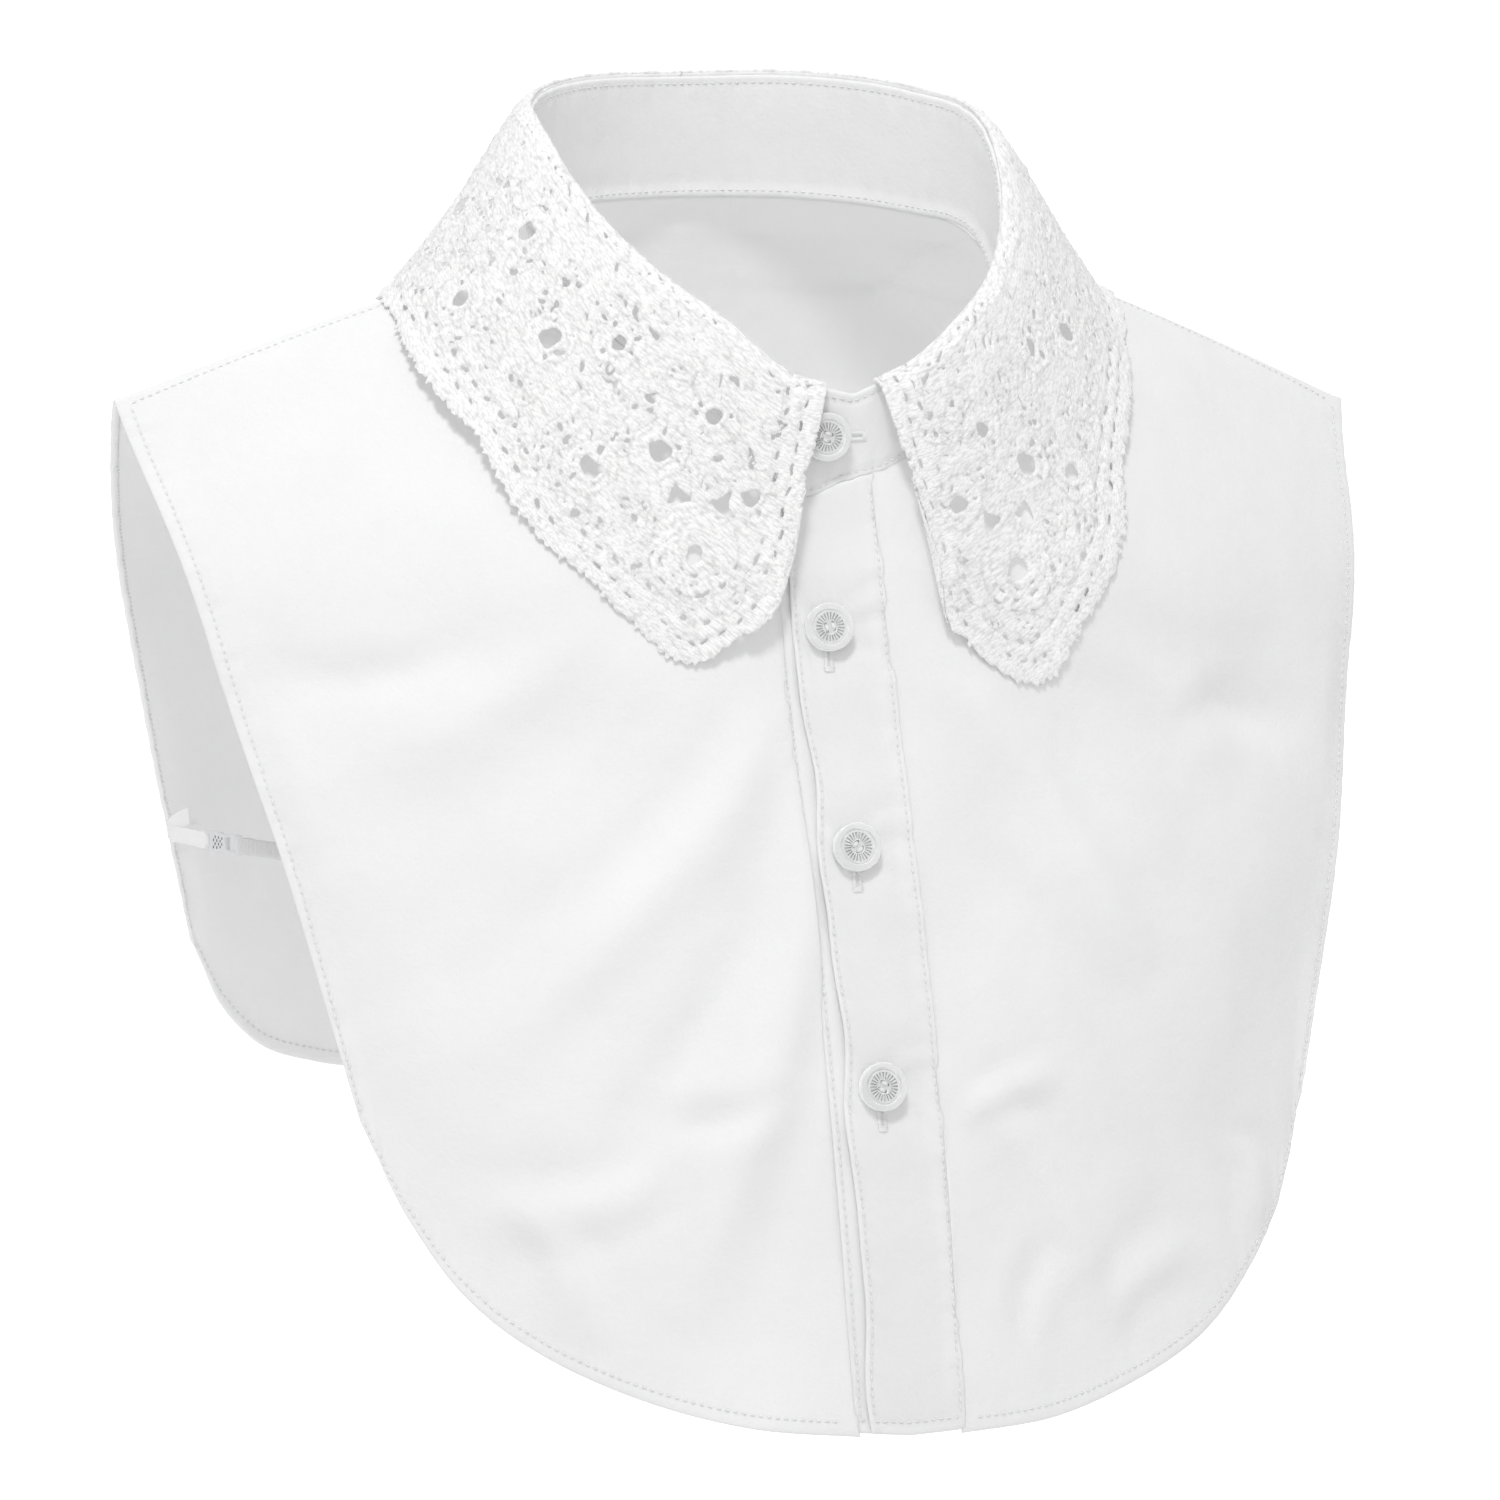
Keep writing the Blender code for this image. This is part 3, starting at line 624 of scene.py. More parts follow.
def material(name, colour, roughness):
    """A node material whose shader is ready to take bump and colour."""
    made = bpy.data.materials.new(name)
    made.use_nodes = True
    shader = made.node_tree.nodes["Principled BSDF"]
    shader.inputs["Base Color"].default_value = (*colour, 1.0)
    shader.inputs["Roughness"].default_value = roughness
    return made, made.node_tree.nodes, made.node_tree.links, shader


def varied_colour(nodes, links, shader, coordinates, colour, spread, scale):
    """Colour that drifts a little over the surface."""
    noise = nodes.new("ShaderNodeTexNoise")
    noise.inputs["Scale"].default_value = scale
    noise.inputs["Detail"].default_value = 4.0
    links.new(coordinates, noise.inputs["Vector"])
    ramp = nodes.new("ShaderNodeValToRGB")
    ramp.color_ramp.elements[0].position = 0.3
    ramp.color_ramp.elements[1].position = 0.7
    ramp.color_ramp.elements[0].color = (*[max(part - spread, 0) for part in colour], 1)
    ramp.color_ramp.elements[1].color = (*[min(part + spread, 1) for part in colour], 1)
    links.new(noise.outputs["Fac"], ramp.inputs["Fac"])
    links.new(ramp.outputs["Color"], shader.inputs["Base Color"])
    return noise


def add_bump(nodes, links, shader, height, distance, strength=1.0, before=None):
    """A bump node on a height, after another one where given."""
    node = nodes.new("ShaderNodeBump")
    node.inputs["Distance"].default_value = distance
    node.inputs["Strength"].default_value = strength
    links.new(height, node.inputs["Height"])
    if before is not None:
        links.new(before.outputs["Normal"], node.inputs["Normal"])
    links.new(node.outputs["Normal"], shader.inputs["Normal"])
    return node


def woven_material(name, colour, pitch, glow=0.0):
    """Plain-woven cotton: crossing threads that rise and dip, uneven yarn and faint wear, with a painted glow of the
    given strength.
    """
    made, nodes, links, shader = material(name, colour, 0.86)
    # Emission: a painted glow wherever glow is above zero.
    shader.inputs["Emission Color"].default_value = (1, 1, 1, 1)
    shader.inputs["Emission Strength"].default_value = glow
    shader.inputs["Sheen Weight"].default_value = 0.12
    shader.inputs["Sheen Roughness"].default_value = 0.5
    shader.inputs["Specular IOR Level"].default_value = 0.25
    shader.inputs["Subsurface Weight"].default_value = 0.5
    shader.inputs["Subsurface Radius"].default_value = (1.0, 1.0, 1.0)
    shader.inputs["Subsurface Scale"].default_value = 0.0012
    flat = nodes.new("ShaderNodeUVMap")
    flat.uv_map = "flat"
    place = nodes.new("ShaderNodeTexCoord")
    waves = []
    for direction in ("X", "Y"):
        wave = nodes.new("ShaderNodeTexWave")
        wave.bands_direction = direction
        wave.inputs["Scale"].default_value = 1 / (pitch * MILLIMETRE) / 20 * 6.2832
        wave.inputs["Distortion"].default_value = 0.6
        wave.inputs["Detail"].default_value = 1.0
        wave.inputs["Detail Scale"].default_value = 0.4
        links.new(flat.outputs["UV"], wave.inputs["Vector"])
        waves.append(wave)
    cross = nodes.new("ShaderNodeMath")
    cross.operation = "MAXIMUM"
    links.new(waves[0].outputs["Fac"], cross.inputs[0])
    links.new(waves[1].outputs["Fac"], cross.inputs[1])
    slub = nodes.new("ShaderNodeTexNoise")
    slub.inputs["Scale"].default_value = 900.0
    slub.inputs["Detail"].default_value = 3.0
    links.new(flat.outputs["UV"], slub.inputs["Vector"])
    crinkle = nodes.new("ShaderNodeTexNoise")
    crinkle.inputs["Scale"].default_value = 60.0
    crinkle.inputs["Detail"].default_value = 5.0
    crinkle.inputs["Roughness"].default_value = 0.45
    links.new(place.outputs["Object"], crinkle.inputs["Vector"])
    first = add_bump(nodes, links, shader, cross.outputs[0], 0.00003, 0.5)
    second = add_bump(nodes, links, shader, slub.outputs["Fac"], 0.0002, 0.5, first)
    add_bump(nodes, links, shader, crinkle.outputs["Fac"], 0.0022, 0.45, second)
    varied_colour(nodes, links, shader, place.outputs["Object"], colour, 0.012, 35.0)
    return made


def yarn_material(name, colour, glow, roughness=0.95):
    """Matt embroidery yarn in satin stitches, with a fuzzy nap, the light that comes through it, a painted glow of the
    given strength and painted shade between its dashes.
    """
    made, nodes, links, shader = material(name, colour, roughness)
    shader.inputs["Sheen Weight"].default_value = 0.2
    shader.inputs["Sheen Roughness"].default_value = 0.6
    shader.inputs["Specular IOR Level"].default_value = 0.15
    shader.inputs["Subsurface Weight"].default_value = 0.5
    shader.inputs["Subsurface Radius"].default_value = (1.0, 1.0, 1.0)
    shader.inputs["Subsurface Scale"].default_value = 0.0016
    # Emission: a painted glow of the given strength.
    shader.inputs["Emission Color"].default_value = (1.0, 1.0, 1.0, 1.0)
    shader.inputs["Emission Strength"].default_value = glow
    place = nodes.new("ShaderNodeTexCoord")
    phase = nodes.new("ShaderNodeAttribute")
    phase.attribute_name = "thread_phase"
    wobble = nodes.new("ShaderNodeTexNoise")
    wobble.inputs["Scale"].default_value = 800.0
    wobble.inputs["Detail"].default_value = 2.0
    links.new(place.outputs["Object"], wobble.inputs["Vector"])
    shifted = nodes.new("ShaderNodeMath")
    shifted.operation = "MULTIPLY_ADD"
    shifted.inputs[1].default_value = 3.0
    links.new(wobble.outputs["Fac"], shifted.inputs[0])
    links.new(phase.outputs["Fac"], shifted.inputs[2])
    thread = nodes.new("ShaderNodeMath")
    thread.operation = "SINE"
    links.new(shifted.outputs[0], thread.inputs[0])
    tufts = nodes.new("ShaderNodeTexVoronoi")
    tufts.inputs["Scale"].default_value = 1150.0
    links.new(place.outputs["Object"], tufts.inputs["Vector"])
    fuzz = nodes.new("ShaderNodeTexNoise")
    fuzz.inputs["Scale"].default_value = 2300.0
    fuzz.inputs["Detail"].default_value = 3.0
    fuzz.inputs["Roughness"].default_value = 0.7
    links.new(place.outputs["Object"], fuzz.inputs["Vector"])
    flat = nodes.new("ShaderNodeUVMap")
    flat.uv_map = "flat"
    slant = nodes.new("ShaderNodeMapping")
    slant.inputs["Rotation"].default_value = (0.0, 0.0, math.radians(38))
    slant.inputs["Scale"].default_value = (620.0, 1500.0, 1.0)
    links.new(flat.outputs["UV"], slant.inputs["Vector"])
    dashes = nodes.new("ShaderNodeTexVoronoi")
    dashes.inputs["Scale"].default_value = 1.0
    links.new(slant.outputs["Vector"], dashes.inputs["Vector"])
    first = add_bump(nodes, links, shader, thread.outputs[0], 0.00005, 0.5)
    second = add_bump(nodes, links, shader, dashes.outputs["Distance"], -0.0003, 0.45, first)
    third = add_bump(nodes, links, shader, tufts.outputs["Distance"], -0.0002, 0.4, second)
    add_bump(nodes, links, shader, fuzz.outputs["Fac"], 0.0002, 0.4, third)
    # Painted shade: the base colour darkens to 0.74 towards the edges of the Voronoi dashes, where shade falls between
    # the yarns.
    between = nodes.new("ShaderNodeValToRGB")
    between.color_ramp.elements[0].position = 0.35
    between.color_ramp.elements[1].position = 0.9
    between.color_ramp.elements[0].color = (*colour, 1)
    between.color_ramp.elements[1].color = (*[part * 0.74 for part in colour], 1)
    links.new(dashes.outputs["Distance"], between.inputs["Fac"])
    links.new(between.outputs["Color"], shader.inputs["Base Color"])
    return made


def thread_material(name, colour):
    """Twisted sewing thread."""
    made, nodes, links, shader = material(name, colour, 0.7)
    shader.inputs["Sheen Weight"].default_value = 0.1
    place = nodes.new("ShaderNodeTexCoord")
    twist = nodes.new("ShaderNodeTexNoise")
    twist.inputs["Scale"].default_value = 2600.0
    twist.inputs["Detail"].default_value = 2.0
    links.new(place.outputs["Object"], twist.inputs["Vector"])
    add_bump(nodes, links, shader, twist.outputs["Fac"], 0.0002, 0.5)
    varied_colour(nodes, links, shader, place.outputs["Object"], colour, 0.015, 300.0)
    return made


def dress(piece, made, slot, *replaced):
    """Give a piece its material and body, and hide the nodes that it stands for; its slot is not used."""
    piece.data.materials.clear()
    piece.data.materials.append(made)
    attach(piece, "root")
    if replaced:
        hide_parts(*replaced)
    return piece


def shared(name, maker, *values):
    """A material that several operators use, made once."""
    return bpy.data.materials.get(name) or maker(name, *values)


CLOTH_PITCH = 0.34
# Strength of the painted glow given to the back cloth and the strap tape, standing in for light that comes through
# cloth from behind.
BACK_PAINTED_GLOW = 0.1


def cloth_material():
    return shared("shirt_cloth", woven_material, tuple(bpy.context.scene.dickey_colours.cloth), CLOTH_PITCH)


def back_material():
    """The same cloth with a painted glow, which stands in for the light that comes through it from behind."""
    return shared("shirt_cloth_back", woven_material, tuple(bpy.context.scene.dickey_colours.cloth),
                  CLOTH_PITCH, BACK_PAINTED_GLOW)


def sewing_material():
    return shared("sewing_thread", thread_material, tuple(bpy.context.scene.dickey_colours.thread))


def capsules(starts, ends, ups, radius, arch, sides=5):
    """Points and faces of many short threads, each arched up between its two ends."""
    starts, ends, ups = (np.asarray(part, float) for part in (starts, ends, ups))
    count = len(starts)
    along = ends - starts
    along /= np.maximum(np.linalg.norm(along, axis=1, keepdims=True), 1e-9)
    across = np.cross(ups, along)
    across /= np.maximum(np.linalg.norm(across, axis=1, keepdims=True), 1e-9)
    lift = np.cross(along, across)
    stations = [(0.0, -0.9, 0.45), (0.2, 0.35, 1.0), (0.5, 1.0, 1.1), (0.8, 0.35, 1.0), (1.0, -0.9, 0.45)]
    rings = []
    for share, height, girth in stations:
        centre = starts + (ends - starts) * share + lift * (height * arch)
        for side in range(sides):
            turn = 2 * math.pi * side / sides
            rings.append(centre + (across * math.cos(turn) + lift * math.sin(turn)) * radius * girth)
    points = np.stack(rings, 1)
    faces = []
    for ring in range(len(stations) - 1):
        for side in range(sides):
            after = (side + 1) % sides
            a, b = ring * sides + side, ring * sides + after
            faces += [(a, b, b + sides), (a, b + sides, a + sides)]
    last = (len(stations) - 1) * sides
    for side in range(1, sides - 1):
        faces += [(0, side + 1, side), (last, last + side, last + side + 1)]
    faces = np.array(faces)[None] + (np.arange(count) * len(stations) * sides)[:, None, None]
    return points.reshape(-1, 3), faces.reshape(-1, 3)


def joined(name, parts):
    """One mesh of several sets of points and triangles."""
    points, faces, start = [], [], 0
    for some_points, some_faces in parts:
        points.append(some_points)
        faces.append(some_faces + start)
        start += len(some_points)
    return new_piece(name, np.concatenate(points), np.concatenate(faces))


def stitch_line(line, length, gap=0.6, radius=0.2, arch=0.22, sunk=0.05):
    """Machine stitches along a line of points and normals."""
    point, up = line
    reach = travelled(point, 0)
    count = int(reach[-1] / length)
    first = np.arange(count) * length + gap / 2

    def at(place):
        spot = np.stack([np.interp(place, reach, point[:, k]) for k in range(3)], -1)
        rise = np.stack([np.interp(place, reach, up[:, k]) for k in range(3)], -1)
        rise /= np.linalg.norm(rise, axis=1, keepdims=True)
        return spot - rise * sunk, rise

    start, rise = at(first)
    end, _ = at(first + length - gap)
    return capsules(start, end, rise, radius, arch)


OTHER_EDGE = {"first_row": "first_row", "last_row": "last_row",
              "first_column": "last_column", "last_column": "first_column"}


def sewn_both(outer, inner, edge, distance, length, skip=3.0):
    """A row of stitches on both faces of a wall."""
    return [stitch_line(line_along(outer, edge, distance, skip), length),
            stitch_line(line_along(inner, OTHER_EDGE[edge], distance, skip), length)]


def overlock(face, edge, width, pitch=1.15):
    """Zigzag threads that wrap a raw edge, from the edge to a row inside it."""
    rim, rise = line_along(face, edge, 0.05, 2.0)
    inside, up = line_along(face, edge, width, 2.0)
    reach = travelled(rim, 0)[-1]
    count = int(reach / pitch)

    def at(points, shares):
        whole = np.linspace(0, 1, len(points))
        return np.stack([np.interp(shares, whole, points[:, axis]) for axis in range(3)], -1)

    first = (np.arange(count) + 0.2) / (count + 1)
    second = (np.arange(count) + 0.7) / (count + 1)
    third = (np.arange(count) + 1.2) / (count + 1)
    starts = np.concatenate([at(rim, first), at(inside, second)])
    ends = np.concatenate([at(inside, second), at(rim, third)])
    return capsules(starts, ends, np.concatenate([at(rise, first), at(up, second)]), 0.14, 0.1)


def front_pieces(sizes):
    """The two fronts with their shoulder seam, side hem and curved bottom hem."""
    thickness = sizes.cloth_thickness / MILLIMETRE
    hem = sizes.hem_width / MILLIMETRE
    share = edged_shares(106, 165.0)
    down = edged_shares(138, 235.0)
    made = []
    for side, word, seam, creases in (
            (1, "front_left", OVER_BAND_SEAM - 0.2, LEFT_FRONT_CREASES),
            (-1, "front_right", UNDER_BAND_SEAM + 0.2, RIGHT_FRONT_CREASES)):
        grid = panel_surface("front", (CLOSURE_TOP_X + seam, CLOSURE_HEM_X + seam), side, share, down)
        grid = outward(grid)
        if side > 0:
            grid = offset(grid, closure_lift(grid[..., 0], grid[..., 2]))
        side_edge = "last_column" if np.abs(grid[-1, -1, 0]) > np.abs(grid[-1, 0, 0]) else "first_column"
        away_side = from_edge(grid, side_edge)
        away_hem = from_edge(grid, "last_row")
        away_top = from_edge(grid, "first_row")
        fade = ease(np.minimum(away_side, away_top) / 14.0)
        shape = 2.4 * crease_depth(grid, creases) + slow_waves(grid, 1.3 + side, 1.7) * fade
        shape = shape * ease((-UNDER_LACE - grid[..., 2]) / 30.0)
        grid = offset(grid, shape)
        along_hem = travelled(grid, 1)
        along_side = travelled(grid, 0)
        turned = np.maximum(ease((hem + 0.8 - away_side) / 1.2), ease((hem + 0.8 - away_hem) / 1.2))
        groove = np.maximum(bump(away_side - hem + 0.7, 0.7) * (away_hem > hem * 0.6),
                            bump(away_hem - hem + 0.7, 0.7) * (away_side > hem * 0.6))
        pucker = (seam_pucker(along_hem, away_hem - hem, 0.7 * side)
                  + seam_pucker(along_side, away_side - hem, 2.0 + side))
        raised_out = 0.26 * turned - 0.42 * groove + 1.1 * pucker
        raised_in = 0.55 * turned - 0.3 * groove - 0.9 * pucker
        piece, outer, inner = cloth_wall(word + "_cloth", grid, thickness, raised_out, raised_in, panel_uv(grid, "front"))
        dress(piece, cloth_material(), "cloth", word)
        made.append((outer, inner, side_edge, hem))
    return made


UNDER_LACE = 58.0
UNDER_LACE_BACK = -2.0

# Soft creases, each from one place to another in front view
# Columns: start x, start z, end x, end z, width, depth
LEFT_FRONT_CREASES = [
    (18, -78, 74, -150, 5.5, 0.9),
    (22, -118, 92, -206, 6.5, -0.8),
    (16, -176, 66, -236, 4.5, 0.8),
    (14, -186, 44, -172, 3.0, 0.6),
    (60, -70, 118, -112, 7.0, 0.7),
    (84, -92, 134, -92, 5.0, -0.6),
    (96, -196, 112, -216, 4.0, 0.7),
    (58, -238, 84, -214, 4.5, 0.6),
    (30, -240, 40, -210, 4.0, -0.5),
]
RIGHT_FRONT_CREASES = [
    (-26, -84, -96, -176, 6.0, 1.0),
    (-24, -104, -78, -214, 6.5, -0.9),
    (-22, -128, -52, -236, 5.0, 0.8),
    (-70, -60, -138, -118, 7.5, 0.8),
    (-100, -70, -146, -86, 5.0, -0.6),
    (-58, -196, -104, -214, 4.5, 0.7),
    (-30, -176, -62, -190, 3.5, -0.6),
    (-92, -206, -74, -238, 4.0, 0.6),
]
BACK_CREASES = [
    (-20, 14, -46, -70, 6.0, 0.8),
    (14, 10, 30, -96, 7.0, -0.8),
    (46, 2, 82, -88, 6.5, 0.9),
    (-66, -10, -100, -98, 7.0, -0.9),
    (-30, -90, -54, -176, 6.0, 0.7),
    (26, -110, 40, -186, 5.5, 0.8),
    (-110, -104, -86, -168, 5.5, 0.7),
    (112, -96, 84, -160, 6.0, -0.7),
]


def back_piece(sizes):
    """The back with its narrow overlocked side edges and turned bottom hem."""
    thickness = sizes.cloth_thickness / MILLIMETRE
    hem = sizes.hem_width / MILLIMETRE
    share = edged_shares(82, 165.0, first=False)
    down = edged_shares(118, 215.0)
    half = [panel_surface("back", (0.0, 0.0), side, share, down) for side in (-1, 1)]
    grid = outward(np.concatenate([half[0][:, ::-1], half[1][:, 1:]], axis=1))
    away_side = np.minimum(from_edge(grid, "first_column"), from_edge(grid, "last_column"))
    away_hem = from_edge(grid, "last_row")
    away_top = from_edge(grid, "first_row")
    fade = ease(np.minimum(away_side, away_top) / 14.0)
    fade = fade * ease((UNDER_LACE_BACK - grid[..., 2]) / 25.0)
    grid = offset(grid, (1.8 * crease_depth(grid, BACK_CREASES) + slow_waves(grid, 4.2, 1.3)) * fade)
    along_hem, along_side = travelled(grid, 1), travelled(grid, 0)
    turned = np.maximum(ease((2.6 - away_side) / 1.0), ease((hem + 0.8 - away_hem) / 1.2))
    groove = np.maximum(bump(away_side - 1.9, 0.6), bump(away_hem - hem + 0.7, 0.7) * (away_side > 3))
    pucker = seam_pucker(along_hem, away_hem - hem, 1.1) + seam_pucker(along_side, away_side - 2.2, 0.4)
    raised_out = 0.24 * turned - 0.38 * groove + 1.1 * pucker
    raised_in = 0.5 * turned - 0.3 * groove - 0.9 * pucker
    piece, outer, inner = cloth_wall("back_cloth", grid, thickness, raised_out, raised_in, panel_uv(grid, "back"))
    dress(piece, back_material(), "cloth", "back")
    return outer, inner


# Creases that the buttons draw in the over band
# Columns: start x, start z, end x, end z, width, depth
BAND_CREASES = [
    (-22, -62, -9, -78, 1.7, 0.75),
    (-21, -69, -13, -84, 1.3, -0.5),
    (-9, -66, 9, -58, 2.0, 0.6),
    (-9, -71, 10, -76, 1.8, -0.55),
    (-19, -114, -8, -128, 1.6, 0.6),
    (-7, -118, 11, -110, 1.9, 0.6),
    (-6, -124, 12, -133, 1.9, -0.5),
    (-17, -172, -6, -186, 1.7, 0.6),
    (-4, -175, 12, -166, 1.8, 0.5),
    (-4, -182, 13, -192, 2.1, -0.5),
]
SEAM_SINK = 0.2


def band_pieces(sizes):
    """The two button bands: the over band with both edges topstitched, and the under band."""
    thickness = sizes.cloth_thickness / MILLIMETRE * 1.5
    made = []
    for word, near, far, lift in (
            ("placket_left", OVER_BAND_FREE_EDGE, OVER_BAND_SEAM + 0.9, LAYER + 0.45),
            ("placket_right", UNDER_BAND_SEAM - 0.9, UNDER_BAND_FREE_EDGE, 0.35)):
        share = edged_shares(24, 24.0)
        down = edged_shares(150, 230.0)
        grid = band_surface(near, far, share, down)
        free = 1 - share if word == "placket_left" else share
        fall = travelled(grid, 0)
        grid[..., 0] += (0.7 * np.sin(fall / 9.5) + 0.35 * np.sin(fall / 5.3)) * ease(free * 1.6)[None, :] * ease(fall / 20)
        turned = outward(grid)
        sunk = SEAM_SINK * bump(free if turned is grid else free[::-1], 0.075)
        grid = turned
        shape = 0.22 * np.sin(grid[..., 2] / 13.0 + 0.3 * grid[..., 0]) + 0.12 * np.sin(grid[..., 2] / 5.1)
        if word == "placket_left":
            for drop in BUTTON_DROPS.values():
                fall = grid[..., 2] + drop
                shape = shape - 0.6 * bump(fall, 7.0) + 0.6 * bump(np.abs(fall) - 14.0, 6.0)
            shape = shape + crease_depth(grid, BAND_CREASES)
        grid = offset(grid, lift + shape * 0.8 - sunk[None, :])
        across = travelled(grid, 1)
        width = across[:, -1:]
        along = travelled(grid, 0)
        edge = np.minimum(across, width - across)
        away_hem = from_edge(grid, "last_row")
        raised = -0.3 * bump(edge - 1.7, 0.6) + 1.0 * seam_pucker(along, edge - 1.8, 0.9, 3.0)
        raised = raised - 0.35 * bump(away_hem - 3.4, 0.6)
        piece, outer, inner = cloth_wall(word + "_cloth", grid, thickness, raised, -raised * 0.5)
        dress(piece, cloth_material(), "cloth", word)
        made.append((word, outer, inner))
    return made


def stand_piece(sizes):
    """The stand: a folded strip with a topstitched upper edge and the neck seam's ridge inside."""
    thickness = sizes.cloth_thickness / MILLIMETRE * 1.6
    degrees, share = np.meshgrid(np.linspace(STAND_OVER_END, STAND_UNDER_END, 300),
                                 np.unique(np.concatenate([np.linspace(-0.06, 1.0, 22), [-0.05, -0.03, 0.975, 0.99]])))
    grid = outward(stand_point(degrees, share), (0, 0, 20))
    along = travelled(grid, 1)
    height = from_edge(grid, "first_row")
    low = height if grid[0, 0, 2] < grid[-1, 0, 2] else from_edge(grid, "last_row")
    high = from_edge(grid, "last_row") if grid[0, 0, 2] < grid[-1, 0, 2] else height
    ripple = seam_pucker(along, high - 2.0, 0.5, 4.0, 0.1) + seam_pucker(along, low - 2.0, 1.5, 4.0, 0.1)
    groove = bump(high - 2.0, 0.6) + bump(low - 2.2, 0.6)
    ridge = ease((3.2 - low) / 0.9)
    out = -0.38 * groove + 1.6 * ripple
    inward = 0.95 * ridge - 0.3 * groove - 1.6 * ripple
    piece, outer, inner = cloth_wall("collar_stand_cloth", grid, thickness, out, inward)
    dress(piece, cloth_material(), "cloth", "collar_stand")
    return outer, inner


def body_tree():
    """A search tree of the panels' middle surfaces, as the lace lies on them."""
    share, down = np.linspace(0, 1, 60), np.linspace(0, 1, 60)
    sheets = []
    for side, seam in ((1, OVER_BAND_SEAM + SEAM_GAP / 2), (-1, UNDER_BAND_SEAM - SEAM_GAP / 2)):
        grid = outward(panel_surface("front", (CLOSURE_TOP_X + seam, CLOSURE_HEM_X + seam), side, share, down))
        sheets.append(offset(grid, closure_lift(grid[..., 0], grid[..., 2])) if side > 0 else grid)
        sheets.append(outward(panel_surface("back", (0.0, 0.0), side, share, down)))
    vertices, faces = [], []
    for sheet in sheets:
        rows, columns = sheet.shape[:2]
        start = len(vertices)
        vertices.extend(Vector(point) for point in sheet.reshape(-1, 3))
        for row in range(rows - 1):
            for column in range(columns - 1):
                corner = start + row * columns + column
                faces.append((corner, corner + columns, corner + columns + 1, corner + 1))
    return BVHTree.FromPolygons(vertices, faces)


def clear_of(grid, body, clearance):
    """The grid with every point at least the clearance outside the body form."""
    moved = grid.copy()
    for row in range(grid.shape[0]):
        for column in range(grid.shape[1]):
            point = Vector(grid[row, column])
            for _ in range(CLEARING_PASSES):
                place, normal, _, _ = body.find_nearest(point)
                gap = (point - place).dot(normal)
                if gap < clearance:
                    point = point + normal * (clearance - gap)
            moved[row, column] = point
    return moved


def resample(values, first_axis, second_axis):
    """A grid read on smooth curves between its points, at fractional rows and columns."""
    for axis, places in ((0, first_axis), (1, second_axis)):
        values = np.moveaxis(values, axis, 0)
        last = len(values) - 1
        base = np.clip(np.floor(places).astype(int), 0, last - 1)
        u = (places - base).reshape((-1,) + (1,) * (values.ndim - 1))
        before = values[np.clip(base - 1, 0, last)]
        start, end = values[base], values[base + 1]
        after = values[np.clip(base + 2, 0, last)]
        before = np.where((base == 0).reshape(u.shape), 2 * start - end, before)
        after = np.where((base == last - 1).reshape(u.shape), 2 * end - start, after)
        values = (start + 0.5 * u * (end - before + u * (2 * before - 5 * start + 4 * end - after
                                                         + u * (3 * (start - end) + after - before))))
        values = np.moveaxis(values, 0, axis)
    return values


LACE_MARGIN = 3.0
# Painted light: the lace yarn glows faintly, and its inner faces deeper than the margin inside its edge glow more,
# lightening the shade under the lace and in its holes.
LACE_PAINTED_GLOW = 0.03
LACE_INSIDE_PAINTED_GLOW = 0.29
PAINTED_GLOW_MARGIN = 4.0
LEAF_COARSE = 105
LEAF_COARSE_ROWS = 23


def leaf_surface(edge_rows, side, body):
    """A leaf's middle surface on a coarse grid that runs past its design edge by the lace margin."""
    along = np.linspace(0, 1, LEAF_COARSE)
    degrees = smooth(edge_rows, 1, along)
    radial = neck_radial(side * degrees)
    lift = LAYER * (1 - ease((degrees + STAND_OVER_END) / STAND_FADE_DEGREES))
    fold = neck_point(side * degrees, 2) + radial * lift[:, None]
    fold[:, 2] += WALL / 2 + FOLD_GAPS * SEAM_GAP
    edge = np.stack([smooth(edge_rows, column, along) for column in (2, 3, 4)], -1)
    fall = edge - fold
    near = fold + radial * FOLD_HANDLE + np.array([0.0, 0.0, FOLD_RISE])
    far = edge - fall * FALL_HANDLE
    steps = np.linspace(0, 1, 65)[:, None, None]
    curve = ((1 - steps) ** 3 * fold + 3 * (1 - steps) ** 2 * steps * near
             + 3 * (1 - steps) * steps ** 2 * far + steps ** 3 * edge)
    reach = travelled(curve, 0)
    grid = np.zeros((LEAF_COARSE_ROWS, LEAF_COARSE, 3))
    length = reach[-1]
    tangent = curve[-1] - curve[-3]
    tangent /= np.linalg.norm(tangent, axis=1, keepdims=True)
    for station in range(LEAF_COARSE):
        wanted = np.linspace(0, length[station] + LACE_MARGIN, LEAF_COARSE_ROWS)
        for axis in range(3):
            grid[:, station, axis] = np.interp(wanted, reach[:, station], curve[:, station, axis])
        past = np.clip(wanted - length[station], 0, None)
        grid[:, station] += tangent[station] * past[:, None]
    grid = clear_of(grid, body, LEAF_CLEARANCE)
    return grid, length


def noise_field(points, pitch, seed):
    """Smooth uneven values between -1 and 1 over points in space."""
    generator = np.random.default_rng(seed)
    total = np.zeros(points.shape[:-1])
    for _ in range(7):
        way = generator.normal(size=3)
        way /= np.linalg.norm(way)
        total += np.sin(points @ way * (2 * math.pi / pitch) * generator.uniform(0.75, 1.35)
                        + generator.uniform(0, 2 * math.pi))
    return total / 3.2


def capsule_gap(u, v, half_length, radius):
    """Distance outside a slot that lies along u."""
    return np.hypot(np.clip(np.abs(u) - half_length, 0, None), v) - radius


